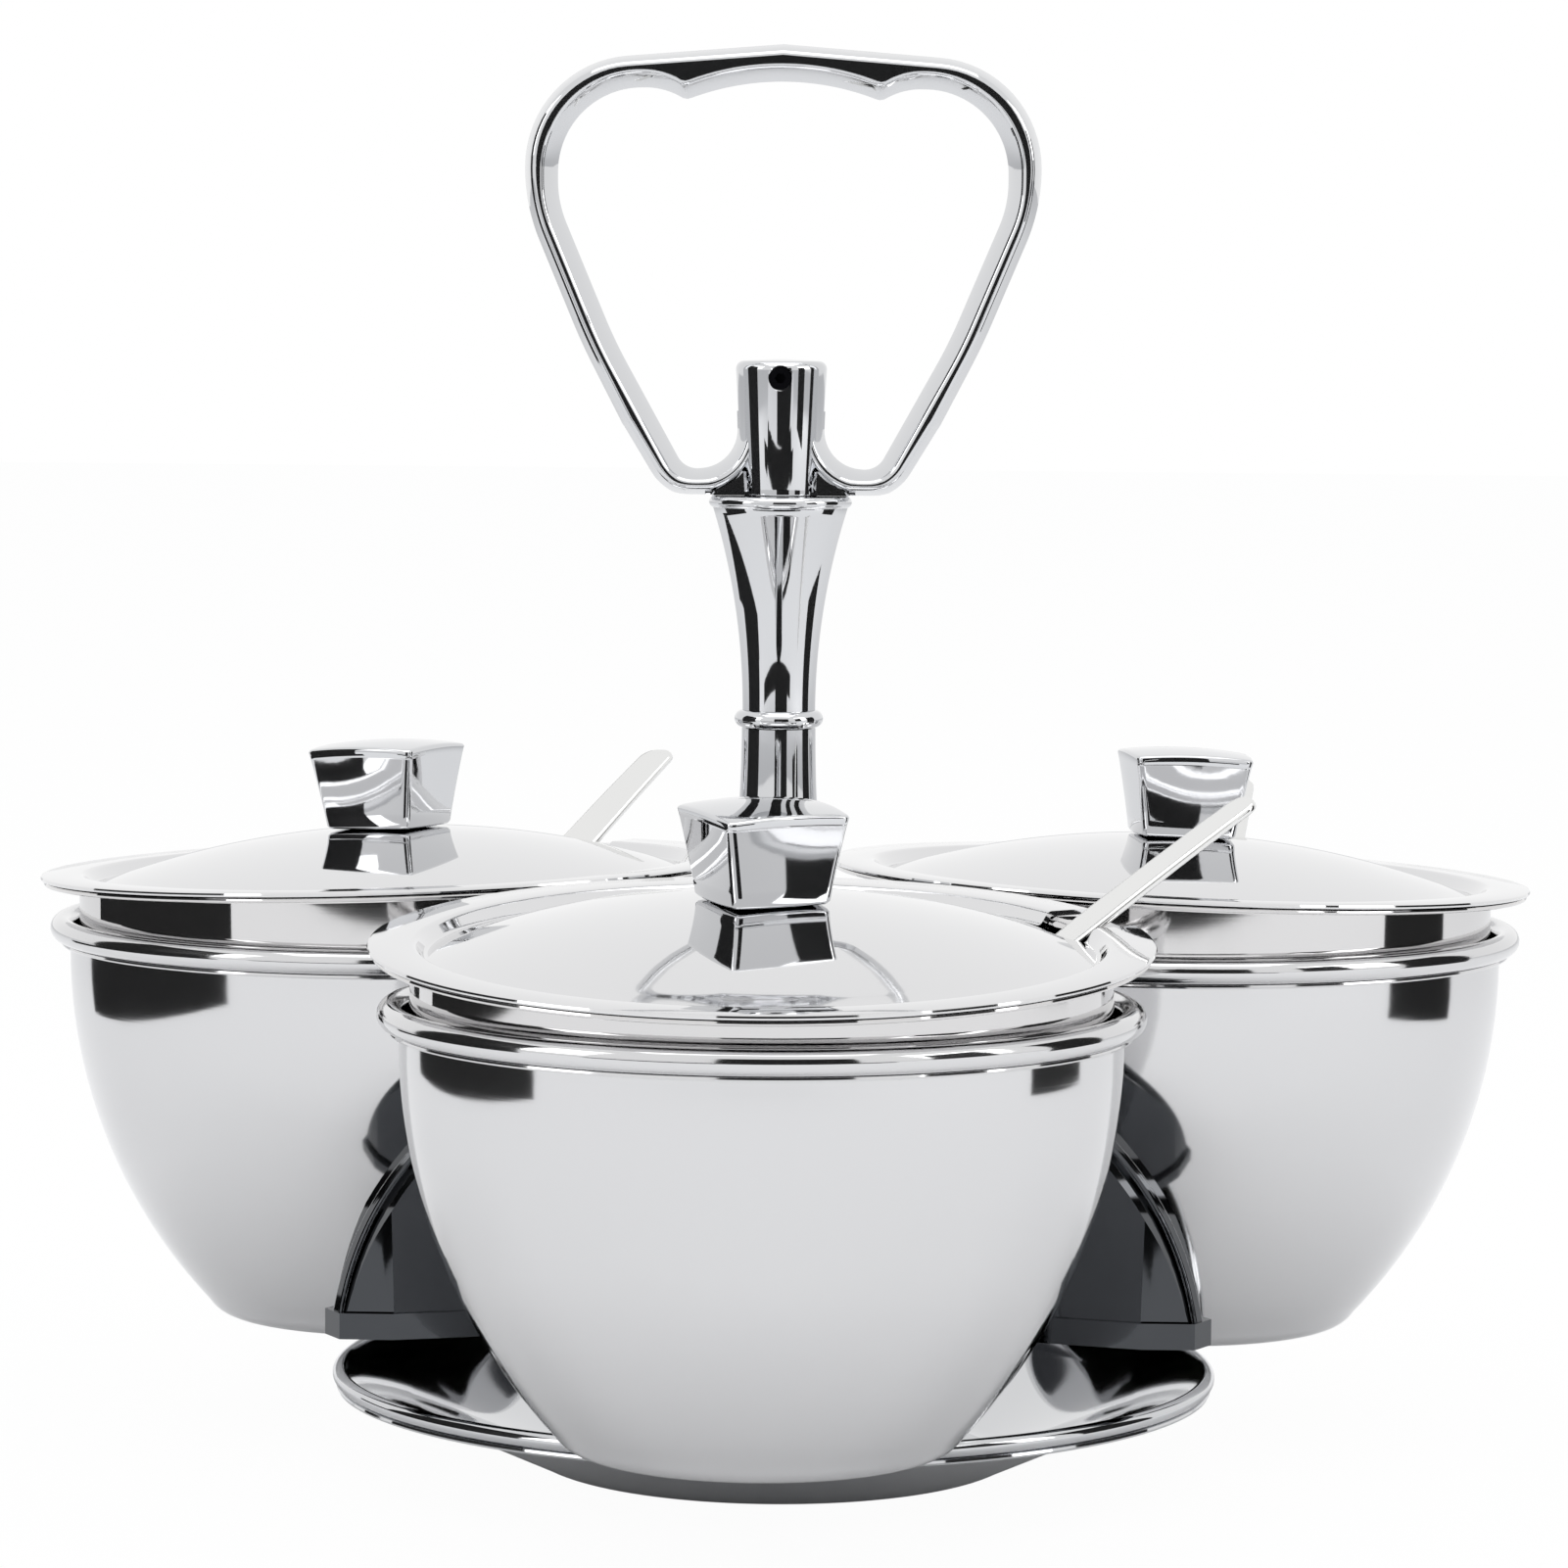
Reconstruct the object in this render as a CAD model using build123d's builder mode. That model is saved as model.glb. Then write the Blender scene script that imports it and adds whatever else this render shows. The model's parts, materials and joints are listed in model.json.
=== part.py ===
from build123d import *
from math import cos, hypot, radians, sin, sqrt
import os

# Rotating server with three lidded bowls, in millimetres.
# The origin is on the spin axis at the underside of the base, with +Z up.

# Layout: three cups round one axis, each with a bowl that leans outwards in it
cup_azimuth = {"front": -90, "right": 30, "left": 150}
bowl_lean = {"front": 3.8, "right": 2.3, "left": 2.3}
cup_circle_radius = 86
cup_count = len(cup_azimuth)
fin_azimuth = cup_azimuth["front"] + 180 / cup_count
rim_height = 93

# Clearances
moving_gap = 0.3
seat_gap = 0.1
rod_clearance = 0.15
screw_clearance = 0.15
screw_seat = 0.3
cut_margin = 20

# Base dish: a spun sheet dish with a raised centre and a rolled rim
dish_sheet = 1.1
dish_rim_radius = 80.7
dish_rim_height = 16.6
dish_bead_radius = 1.5
dish_floor_radius = 46
dish_wall_radius = 56
dish_wall_height = 7
dish_flare_radius = 67
dish_flare_height = 13
pedestal_radius = 14
pedestal_height = 14
pedestal_foot_radius = 24
pedestal_corner = 2.5

# Spindle parts
rod_radius = 3
rod_foot = 3.8
rod_top = 193
rod_chamfer = 0.5
washer_radius = 11
washer_thickness = 1.2
thrust_radius = 12.5
thrust_thickness = 1.6
nut_across_flats = 10
nut_height = 6
nut_collar_radius = 4.5
nut_collar_height = 1.6

# Carrier: a hollow moulding with three fins, a bell and a cradle for each cup
carrier_bottom = 29.6
carrier_top = 98
carrier_wall = 2.6
cradle_gap = 0.3
fin_reach = 87.5
fin_stations = [0, 42, 62, 79.5, fin_reach]
fin_foot_half_widths = [13, 13, 11, 6.9, 2.2]
fin_top_half_widths = [6, 6, 4.4, 3.2, 1.6]
fin_thinnest = 0.4
fin_crest = [(85.4, 39.4), (79.5, 52), (70, 63), (45, 80)]
fin_crest_end = (12, 88)
fin_bead = 0.8
fin_bead_half_width = 1.6
fin_bead_round = 0.9
plinth_height = 4.6
plinth_step = 0.9
bell_foot_radius = 50
bell_waist = (41.5, 52)
bell_shoulder = (24, 82)
bell_top_radius = 9.2
boss_radius = 8
rib_thickness = 2.4
rib_reach = 62
rib_rise = 3

# Column: a tapered stem and a trumpet with a collar and a top flange
stem_foot_radius = 9.2
stem_waist = (7.3, 117)
stem_top_radius = 6.7
stem_top = 134.6
collar_radius = 8.05
collar_height = 3.2
trumpet_root_radius = 6.6
trumpet_middle = (8.1, 157)
trumpet_top_radius = 12.2
flange_radius = 12.95
flange_thickness = 2.2
flange_top = 176.8

# Handle: one cast ring with three finger scallops and a hub inside it
handle_top = 258
handle_corner = (46.6, 254.3)
handle_shoulder = (46.6, 228.9)
handle_flank = (36.2, 204)
handle_heel = 22.2
handle_outer_radii = [20, 34, 110, 9]
handle_depth = 9.5
handle_edge = 2.2
window_edge = 1.4
scallop_cusp_radius = 1.7
scallop_cusp = (17.6, 247.9)
scallop_apex_height = 251.3
scallop_side_middle = (21.2, 249.6)
scallop_side_apex = (25.5, 250.1)
window_shoulder = (40.65, 234.9)
window_elbow = (40.65, 229.4)
window_flank = (30.2, 204.5)
window_heel = (17.4, 181.4)
window_inner_heel = (7.6, 182.2)
window_radii = [20, 90, 4, 7]
hub_top = 201.5
hub_top_radius = 8.35
hub_foot_radius = 6.9
hub_edge = 1.2
set_screw_height = 198.1
set_screw_radius = 2
set_screw_recess = 1
set_screw_socket = 1

# Outer cup: one arc of wall, and a rim curled outwards in a hollow roll
cup_bottom = 19.4
cup_sheet = 0.9
cup_opening_radius = 60
cup_curl_radius = 2.25
cup_foot = (34.1, 22.8)
cup_belly = (50.2, 46.5)
cup_wall_top = 88
wall_steps = 8
cup_corner = 5

# Cup screws, square to the cup's wall
screw_radius = 2
screw_length = 9
screw_head_radius = 3.8
screw_head_height = 1.5
screw_spread = 11
screw_height = 50
screw_boss_radius = 4.2

# Inner bowl, in heights above its cup's rim plane
bowl_sheet = 0.9
bowl_drop = 70.8
bowl_floor_radius = 24
bowl_foot = (29, -64.7)
bowl_corner = 6
bowl_belly = (44.3, -44)
bowl_neck_radius = 58.3
bowl_neck_drop = -4
bowl_flange_radius = 65.4
bowl_flange_rise = 11.5
bowl_flange_corner = 1.6

# Lid, in heights above its flat edge
lid_radius = 66
lid_sheet = 0.9
lid_land_corner = 1.3
lid_groove = (56.4, -2.5)
lid_groove_corner = 0.9
lid_groove_wall = 1.6
lid_dome_rise = 7
lid_dome_edge = 50
notch_width = 18
notch_foot = 50
notch_corner = 3
notch_azimuth = {"front": 24.5, "right": 80, "left": 56}

# Knob
knob_top_side = 22.5
knob_bottom_side = 17.8
knob_height = 13.8
knob_pillow = 2.6
knob_corner = 2.2
knob_turn = {"front": 26, "right": 8, "left": 66}
knob_screw_head_radius = 3.6
knob_screw_head_height = 2
knob_screw_grip = 8

# Spoon
spoon_azimuth = {"front": 21, "right": 80, "left": 56}
spoon_slope = {"front": 36, "right": 34, "left": 32}
spoon_outside = {"front": 36.5, "right": 26, "left": 32.5}
spoon_length = 140
spoon_sheet = 1.3
spoon_neck_width = 5
spoon_lip_width = 9.2
spoon_tip_width = 7.8
spoon_tip_corner = 2.8
spoon_bow = 1.6
scoop_length = 38
scoop_width = 24
scoop_sphere = 44
scoop_sheet = 1.1

os.makedirs("parts", exist_ok=True)


def save(part, name):
    """Labels a finished piece and writes it under its name."""
    part.label = name
    export_step(part, f"parts/{name}.step")


def section_of(frame):
    """The plane through a frame's axis where a turned piece's section is drawn."""
    return Plane(origin=frame.origin, x_dir=frame.x_dir, z_dir=-frame.y_dir)


def axis_of(frame):
    """The axis that a turned piece is revolved about."""
    return Axis(frame.origin, frame.z_dir)


def cup_frame(azimuth):
    """An upright frame at a cup's centre, with x pointing away from the spin axis."""
    outwards = Vector(cos(radians(azimuth)), sin(radians(azimuth)), 0)
    return Plane(origin=outwards * cup_circle_radius, x_dir=outwards, z_dir=(0, 0, 1))


def bowl_frame(place):
    """The leaning frame of a bowl, at its cup's rim plane. Its floor's outer edge just clears the cup."""
    azimuth, lean = cup_azimuth[place], radians(bowl_lean[place])
    outwards = Vector(cos(radians(azimuth)), sin(radians(azimuth)), 0)
    up = Vector(0, 0, 1)
    floor_clear = cup_bottom + cup_sheet + moving_gap
    height = floor_clear + bowl_drop * cos(lean) + bowl_floor_radius * sin(lean)
    return Plane(
        origin=outwards * cup_circle_radius + up * height,
        x_dir=outwards * cos(lean) - up * sin(lean),
        z_dir=outwards * sin(lean) + up * cos(lean),
    )


def turned(frame, azimuth, place):
    """The frame of one bowl turned about its own axis, so that its x points to an azimuth."""
    x_dir = frame.x_dir.rotate(Axis(frame.origin, frame.z_dir), azimuth - cup_azimuth[place])
    return Plane(origin=frame.origin, x_dir=x_dir, z_dir=frame.z_dir)


def circle_through(a, b, c):
    """The centre and radius of the circle through three points of a section."""
    (ax, ay), (bx, by), (cx, cy) = a, b, c
    a2, b2, c2 = ax**2 + ay**2, bx**2 + by**2, cx**2 + cy**2
    d = 2 * (ax * (by - cy) + bx * (cy - ay) + cx * (ay - by))
    u = (a2 * (by - cy) + b2 * (cy - ay) + c2 * (ay - by)) / d
    v = (a2 * (cx - bx) + b2 * (ax - cx) + c2 * (bx - ax)) / d
    return u, v, hypot(ax - u, ay - v)


# The inner face of every cup's wall lies on one arc, which the carrier and the screws share.
wall_u, wall_v, wall_r = circle_through(cup_foot, cup_belly, (cup_opening_radius, cup_wall_top))


def wall_point(height, depth=0):
    """A point of the cup's section that lies outside its inner face by a depth."""
    radius = wall_r + depth
    return wall_u + sqrt(radius**2 - (height - wall_v) ** 2), height


def wall_line(low, high, depth=0):
    """Points up the cup's section between two heights, outside its inner face by a depth."""
    rise = (high - low) / wall_steps
    return [wall_point(low + step * rise, depth) for step in range(wall_steps + 1)]


# Base dish
# The line is the dish's upper face, from the hole in the raised centre to the rolled rim.
with BuildPart() as base_dish:
    with BuildSketch(Plane.XZ):
        with BuildLine():
            FilletPolyline(
                (rod_radius + rod_clearance, pedestal_height),
                (pedestal_radius, pedestal_height),
                (pedestal_foot_radius, dish_sheet),
                (dish_floor_radius, dish_sheet),
                radius=pedestal_corner,
            )
            wall = TangentArc(
                (dish_floor_radius, dish_sheet),
                (dish_wall_radius, dish_wall_height),
                tangent=(1, 0),
            )
            bead_top = (dish_rim_radius - dish_bead_radius, dish_rim_height + dish_bead_radius)
            ThreePointArc(wall @ 1, (dish_flare_radius, dish_flare_height), bead_top)
            CenterArc(
                (dish_rim_radius - dish_bead_radius, dish_rim_height),
                radius=dish_bead_radius,
                start_angle=90,
                arc_size=-190,
            )
            offset(amount=dish_sheet, side=Side.RIGHT)
        make_face()
    revolve(axis=Axis.Z)
save(base_dish.part, "base_dish")

# Washers, nut and tie rod of the turntable
thrust_bottom = pedestal_height + seat_gap
boss_bottom = thrust_bottom + thrust_thickness + seat_gap
washer_bottom = pedestal_height - dish_sheet - seat_gap - washer_thickness
nut_bottom = washer_bottom - seat_gap - nut_height

with BuildPart() as thrust_washer:
    with BuildSketch(Plane.XY.offset(thrust_bottom)):
        Circle(thrust_radius)
        Circle(rod_radius + rod_clearance, mode=Mode.SUBTRACT)
    extrude(amount=thrust_thickness)
save(thrust_washer.part, "thrust_washer")

with BuildPart() as retaining_washer:
    with BuildSketch(Plane.XY.offset(washer_bottom)):
        Circle(washer_radius)
        Circle(rod_radius + seat_gap, mode=Mode.SUBTRACT)
    extrude(amount=washer_thickness)
save(retaining_washer.part, "retaining_washer")

with BuildPart() as lock_nut:
    with BuildSketch(Plane.XY.offset(nut_bottom)):
        Circle(nut_collar_radius)
    extrude(amount=nut_collar_height)
    with BuildSketch(Plane.XY.offset(nut_bottom + nut_collar_height)):
        RegularPolygon(nut_across_flats / 2, 6, major_radius=False)
    extrude(amount=nut_height - nut_collar_height)
    Hole(rod_radius + seat_gap)
save(lock_nut.part, "lock_nut")

with BuildPart() as tie_rod:
    with BuildSketch(Plane.XY.offset(rod_foot)):
        Circle(rod_radius)
    extrude(amount=rod_top - rod_foot)
    chamfer(tie_rod.faces().filter_by(Plane.XY).edges(), rod_chamfer)
save(tie_rod.part, "tie_rod")

cup_floor = cup_bottom + cup_sheet

# Outer cups, with two screw holes each in the side that faces the carrier
# A screw stands square to the wall, so its axis passes through the centre of the wall's arc.


def screw_frames(azimuth):
    """A frame for each screw of one cup: origin on the wall's inner face, z pointing into the cup."""
    frames = []
    foot, height = wall_point(screw_height)
    for side in (-1, 1):
        turn = radians(azimuth + 180) + side * screw_spread / foot
        away = Vector(cos(turn), sin(turn), 0)
        centre = cup_frame(azimuth).origin
        into = (away * (wall_u - foot) + Vector(0, 0, wall_v - height)).normalized()
        frames.append(Plane(origin=centre + away * foot + Vector(0, 0, height), z_dir=into))
    return frames


def cup_side(depth, mode):
    """Draws half of a cup's section, filled in to its axis, out to a depth outside its inner face."""
    foot = wall_point(cup_foot[1], depth)
    side = wall_line(cup_foot[1], cup_wall_top, depth)
    floor = cup_floor - depth
    with BuildLine() as outline:
        FilletPolyline(
            (0, floor), (foot[0] - cup_corner / 3, floor), foot, radius=cup_corner + depth
        )
        Spline(side)
        brim = (cup_opening_radius + depth, rim_height)
        Polyline(side[-1], brim, (0, rim_height), (0, floor))
    make_face(outline.edges(), mode=mode)


for place, azimuth in cup_azimuth.items():
    frame = cup_frame(azimuth)
    with BuildPart() as cup:
        with BuildSketch(section_of(frame)):
            cup_side(cup_sheet, Mode.ADD)
            cup_side(0, Mode.SUBTRACT)
            with Locations((cup_opening_radius + cup_curl_radius, rim_height)):
                Circle(cup_curl_radius)
                Circle(cup_curl_radius - cup_sheet, mode=Mode.SUBTRACT)
            with Locations((cup_opening_radius + 1.5 * cup_sheet, rim_height - cup_curl_radius)):
                Rectangle(cup_sheet, cup_sheet, mode=Mode.SUBTRACT)
        revolve(axis=axis_of(frame))
        for hole in screw_frames(azimuth):
            with BuildSketch(hole):
                Circle(screw_radius + screw_clearance)
            extrude(amount=3 * cup_sheet, both=True, mode=Mode.SUBTRACT)
    save(cup.part, f"cup_{place}")

with BuildPart() as cup_screws:
    for azimuth in cup_azimuth.values():
        for head in screw_frames(azimuth):
            with BuildSketch(head.offset(screw_seat)):
                Circle(screw_head_radius)
            extrude(amount=screw_head_height)
            with BuildSketch(head.offset(screw_seat)):
                Circle(screw_radius)
            extrude(amount=-screw_length)
save(cup_screws.part, "cup_screws")

# Inner bowls
bowl_floor_height = bowl_sheet - bowl_drop
for place in cup_azimuth:
    frame = bowl_frame(place)
    with BuildPart() as bowl:
        with BuildSketch(section_of(frame)):
            with BuildLine():
                FilletPolyline(
                    (0, bowl_floor_height),
                    (bowl_floor_radius, bowl_floor_height),
                    bowl_foot,
                    radius=bowl_corner,
                )
                ThreePointArc(bowl_foot, bowl_belly, (bowl_neck_radius, bowl_neck_drop))
                FilletPolyline(
                    (bowl_neck_radius, bowl_neck_drop),
                    (bowl_neck_radius, bowl_flange_rise),
                    (bowl_flange_radius, bowl_flange_rise),
                    radius=bowl_flange_corner,
                )
                offset(amount=bowl_sheet, side=Side.RIGHT)
            make_face()
        revolve(axis=axis_of(frame))
    save(bowl.part, f"bowl_{place}")

# Knob: a square taper with a pillowed top, and a hole for the screw from under the lid
half_diagonal = knob_top_side / sqrt(2)
pillow_radius = (half_diagonal**2 + knob_pillow**2) / (2 * knob_pillow)
with BuildPart() as knob_form:
    with BuildSketch(Plane.XY):
        RectangleRounded(knob_bottom_side, knob_bottom_side, knob_corner)
    with BuildSketch(Plane.XY.offset(knob_height)):
        RectangleRounded(knob_top_side, knob_top_side, knob_corner)
    loft()
    with BuildSketch(Plane.XY.offset(knob_height)):
        RectangleRounded(knob_top_side, knob_top_side, knob_corner)
    extrude(amount=knob_pillow)
    with Locations((0, 0, knob_height + knob_pillow - pillow_radius)):
        Sphere(pillow_radius, mode=Mode.INTERSECT)
    with BuildSketch(Plane.XY):
        Circle(screw_radius + screw_clearance)
    extrude(amount=knob_screw_grip + moving_gap, mode=Mode.SUBTRACT)

# Lids, each with a notch that a spoon's handle stands in, and each with a knob and its screw
land_height = bowl_flange_rise + seat_gap + lid_sheet
knob_foot = lid_dome_rise + seat_gap
for place in cup_azimuth:
    frame = bowl_frame(place).offset(land_height)
    notch = turned(frame, notch_azimuth[place], place)
    dome_drop = lid_dome_rise - lid_groove[1]
    dome_radius = (lid_groove[0] ** 2 + dome_drop**2) / (2 * dome_drop)
    dome_edge_height = lid_dome_rise - dome_radius + sqrt(dome_radius**2 - lid_dome_edge**2)
    dome_middle = lid_dome_edge / 2
    dome_middle_height = lid_dome_rise - dome_radius + sqrt(dome_radius**2 - dome_middle**2)
    with BuildPart() as lid:
        with BuildSketch(section_of(frame)):
            with BuildLine():
                ThreePointArc(
                    (0, lid_dome_rise),
                    (dome_middle, dome_middle_height),
                    (lid_dome_edge, dome_edge_height),
                )
                FilletPolyline(
                    (lid_dome_edge, dome_edge_height),
                    lid_groove,
                    (lid_groove[0] + lid_groove_wall, 0),
                    (lid_radius, 0),
                    radius=[lid_groove_corner, lid_land_corner],
                )
                offset(amount=lid_sheet, side=Side.RIGHT)
            make_face()
        revolve(axis=axis_of(frame))
        with BuildSketch(notch) as slot:
            with Locations((notch_foot, 0)):
                Rectangle(lid_radius, notch_width, align=(Align.MIN, Align.CENTER))
            fillet(slot.vertices().group_by(SortBy.DISTANCE)[0], notch_corner)
        extrude(amount=2 * lid_dome_rise, both=True, mode=Mode.SUBTRACT)
        with BuildSketch(frame):
            Circle(screw_radius + screw_clearance)
        extrude(amount=2 * lid_dome_rise, mode=Mode.SUBTRACT)
    save(lid.part, f"lid_{place}")

    foot = turned(frame.offset(knob_foot), knob_turn[place], place)
    with BuildPart() as knob:
        with Locations(foot.location):
            add(knob_form.part)
    save(knob.part, f"knob_{place}")

    head = frame.offset(lid_dome_rise - lid_sheet - seat_gap)
    with BuildPart() as knob_screw:
        with BuildSketch(head):
            Circle(knob_screw_head_radius)
        extrude(amount=-knob_screw_head_height)
        with BuildSketch(head):
            Circle(screw_radius)
        extrude(amount=lid_sheet + 2 * seat_gap + knob_screw_grip)
    save(knob_screw.part, f"knob_screw_{place}")

# Spoons, each resting on the rounded lip of its bowl
# Each frame's x runs up along the handle from the lip, and its z is square to the handle.
for place in cup_azimuth:
    lip = turned(bowl_frame(place).offset(bowl_flange_rise), spoon_azimuth[place], place)
    slope = radians(spoon_slope[place])
    outside = spoon_outside[place]
    along = lip.x_dir * cos(slope) + lip.z_dir * sin(slope)
    across = lip.z_dir * cos(slope) - lip.x_dir * sin(slope)
    bend = lip.origin + lip.x_dir * (bowl_neck_radius + bowl_flange_corner)
    bend -= lip.z_dir * bowl_flange_corner
    seat = bend + across * (bowl_flange_corner + moving_gap + spoon_sheet / 2)
    flat = Plane(origin=seat, x_dir=along, z_dir=across)
    side = Plane(origin=seat, x_dir=along, z_dir=-flat.y_dir)
    neck = outside - spoon_length + scoop_length
    root = neck - scoop_length / 5
    middle = (root + outside) / 2
    # The bowed handle passes its seat level, so its two ends dip under the frame by this much.
    dip = spoon_bow * (1 - (middle / (outside - middle)) ** 2) + spoon_sheet / 2
    with BuildPart() as handle_strip:
        with BuildSketch(side):
            with BuildLine():
                ThreePointArc((root, -dip), (middle, spoon_bow - dip), (outside, -dip))
                offset(amount=spoon_sheet, side=Side.LEFT)
            make_face()
        extrude(amount=spoon_lip_width, both=True)
        with BuildSketch(flat) as outline:
            with BuildLine():
                Polyline(
                    (root, -spoon_neck_width / 2),
                    (0, -spoon_lip_width / 2),
                    (outside, -spoon_tip_width / 2),
                    (outside, spoon_tip_width / 2),
                    (0, spoon_lip_width / 2),
                    (root, spoon_neck_width / 2),
                    close=True,
                )
            make_face()
            fillet(outline.vertices().group_by(Axis(seat, along))[-1], spoon_tip_corner)
        extrude(amount=spoon_length, both=True, mode=Mode.INTERSECT)
    with BuildPart() as spoon:
        with BuildSketch(flat):
            with Locations((neck - scoop_length / 2, 0)):
                Ellipse(scoop_length / 2, scoop_width / 2)
        extrude(amount=scoop_length / 3, both=True)
        scoop_floor = flat.from_local_coords((neck - scoop_length / 2, 0, spoon_sheet / 2 - dip))
        with Locations(scoop_floor + across * (scoop_sphere - scoop_sheet)):
            Sphere(scoop_sphere, mode=Mode.INTERSECT)
            Sphere(scoop_sphere - scoop_sheet, mode=Mode.SUBTRACT)
        add(handle_strip.part)
    save(spoon.part, f"spoon_{place}")

# Column: the stem on the carrier, then the trumpet with its collar and top flange
with BuildPart() as stem:
    with BuildSketch(Plane.XZ):
        with BuildLine():
            foot = carrier_top + seat_gap
            Line((rod_radius + rod_clearance, foot), (stem_foot_radius, foot))
            ThreePointArc((stem_foot_radius, foot), stem_waist, (stem_top_radius, stem_top))
            Polyline(
                (stem_top_radius, stem_top),
                (rod_radius + rod_clearance, stem_top),
                (rod_radius + rod_clearance, foot),
            )
        make_face()
    revolve(axis=Axis.Z)
save(stem.part, "column_stem")

collar_bottom = stem_top + seat_gap
collar_top = collar_bottom + collar_height
flange_bottom = flange_top - flange_thickness
with BuildPart() as trumpet:
    with BuildSketch(Plane.XZ):
        with BuildLine():
            Line((rod_radius + rod_clearance, collar_bottom), (trumpet_root_radius, collar_bottom))
            Line((trumpet_root_radius, collar_bottom), (trumpet_root_radius, collar_top))
            ThreePointArc(
                (trumpet_root_radius, collar_top),
                trumpet_middle,
                (trumpet_top_radius, flange_bottom),
            )
            Polyline(
                (trumpet_top_radius, flange_bottom),
                (trumpet_top_radius, flange_top),
                (rod_radius + rod_clearance, flange_top),
                (rod_radius + rod_clearance, collar_bottom),
            )
        make_face()
        with Locations((collar_radius - collar_height / 2, collar_bottom + collar_height / 2)):
            SlotOverall(2 * collar_height, collar_height, rotation=0)
        with Locations((flange_radius - flange_thickness, flange_top - flange_thickness / 2)):
            SlotOverall(2 * flange_thickness, flange_thickness, rotation=0)
    revolve(axis=Axis.Z)
save(trumpet.part, "column_trumpet")

# Handle
hub_bottom = flange_top + seat_gap
with BuildPart() as handle:
    with BuildSketch(Plane.XZ) as ring:
        with BuildLine():
            FilletPolyline(
                (0, handle_top),
                handle_corner,
                handle_shoulder,
                handle_flank,
                (handle_heel, hub_bottom),
                (0, hub_bottom),
                radius=handle_outer_radii,
            )
            mirror(about=Plane.YZ)
        make_face()
        with BuildLine():
            cusp_left = (-scallop_cusp[0], scallop_cusp[1])
            ThreePointArc(cusp_left, (0, scallop_apex_height), scallop_cusp)
            right_side = [
                ThreePointArc(scallop_cusp, scallop_side_middle, scallop_side_apex),
                TangentArc(scallop_side_apex, window_shoulder, tangent=(1, 0)),
                FilletPolyline(
                    window_shoulder,
                    window_elbow,
                    window_flank,
                    window_heel,
                    window_inner_heel,
                    (hub_top_radius, hub_top),
                    radius=window_radii,
                ),
            ]
            mirror(right_side, about=Plane.YZ)
            Line((hub_top_radius, hub_top), (-hub_top_radius, hub_top))
        make_face(mode=Mode.SUBTRACT)
        for x, y in (scallop_cusp, (hub_top_radius, hub_top)):
            for side in (-1, 1):
                fillet(ring.vertices().sort_by_distance((side * x, y))[0], scallop_cusp_radius)
    extrude(amount=handle_depth / 2, both=True)
    for face in handle.faces().filter_by(Axis.Y):
        fillet(face.outer_wire().edges(), handle_edge)
    for face in handle.faces().filter_by(Axis.Y):
        fillet(face.inner_wires().edges(), window_edge)
    with BuildSketch(Plane.XZ):
        with BuildLine():
            FilletPolyline(
                (0, hub_bottom),
                (hub_foot_radius, hub_bottom),
                (hub_top_radius, hub_top),
                (0, hub_top),
                radius=[hub_edge / 4, hub_edge],
            )
            Line((0, hub_top), (0, hub_bottom))
        make_face()
    revolve(axis=Axis.Z)
    with BuildSketch(Plane.XY.offset(hub_bottom)):
        Circle(rod_radius + rod_clearance)
    extrude(amount=rod_top + moving_gap - hub_bottom, mode=Mode.SUBTRACT)
    with BuildSketch(Plane.XZ.offset(hub_top_radius)):
        with Locations((0, set_screw_height)):
            Circle(set_screw_radius + seat_gap)
    extrude(amount=-hub_top_radius + rod_radius, mode=Mode.SUBTRACT)
save(handle.part, "handle")

# Set screw in the hub's front, with a six-sided socket
screw_face = hub_top_radius - set_screw_recess
with BuildPart() as set_screw:
    with BuildSketch(Plane.XZ.offset(screw_face)):
        with Locations((0, set_screw_height)):
            Circle(set_screw_radius)
    extrude(amount=rod_radius + seat_gap - screw_face)
    with BuildSketch(Plane.XZ.offset(screw_face)):
        with Locations((0, set_screw_height)):
            RegularPolygon(set_screw_socket, 6)
    extrude(amount=-2 * set_screw_socket, mode=Mode.SUBTRACT)
save(set_screw.part, "handle_set_screw")

# Carrier
# The same form is drawn twice: once full size, and once drawn in by the wall for the hollow inside.


def inset(point, margin):
    """A point of an outline drawn in towards the axis and down by a margin."""
    return point[0] - margin, point[1] - margin


def fin_plan(half_widths, margin):
    """Draws a fin seen from above, from the spin axis to its nose, with a half-width at each station."""
    line = [
        (reach - margin if reach else 0, max(width - margin, fin_thinnest))
        for reach, width in zip(fin_stations, half_widths)
    ]
    with BuildLine() as outline:
        Polyline(line)
        mirror(about=Plane.XZ)
        for reach, width in (line[0], line[-1]):
            Line((reach, width), (reach, -width))
    make_face(outline.edges())


def fin_side(margin, bottom):
    """Draws a fin seen from the side: its crest, and its foot at a bottom height."""
    crest = [(fin_reach - margin, bottom)]
    crest += [inset(point, margin) for point in (*fin_crest, fin_crest_end)]
    with BuildLine() as outline:
        Spline(*crest)
        Polyline(crest[-1], (0, crest[-1][1]), (0, bottom), crest[0])
    make_face(outline.edges())


def cut_cups(margin):
    """Removes the room that the cups take, wider than each cup by a margin."""
    for azimuth in cup_azimuth.values():
        frame = cup_frame(azimuth)
        depth = cup_sheet + margin
        reach = cup_opening_radius + 2 * cup_curl_radius + margin
        low, high = carrier_bottom - cut_margin / 4, carrier_top + cut_margin
        with BuildSketch(section_of(frame)) as room:
            with BuildLine():
                brim = (reach, rim_height - cup_curl_radius - margin)
                side = wall_line(low, brim[1] - cup_curl_radius, depth)
                Spline(side)
                Polyline(side[-1], brim, (reach, high), (0, high), (0, low), side[0])
            make_face()
        revolve(room.sketch, axis=axis_of(frame), mode=Mode.SUBTRACT)


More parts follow.
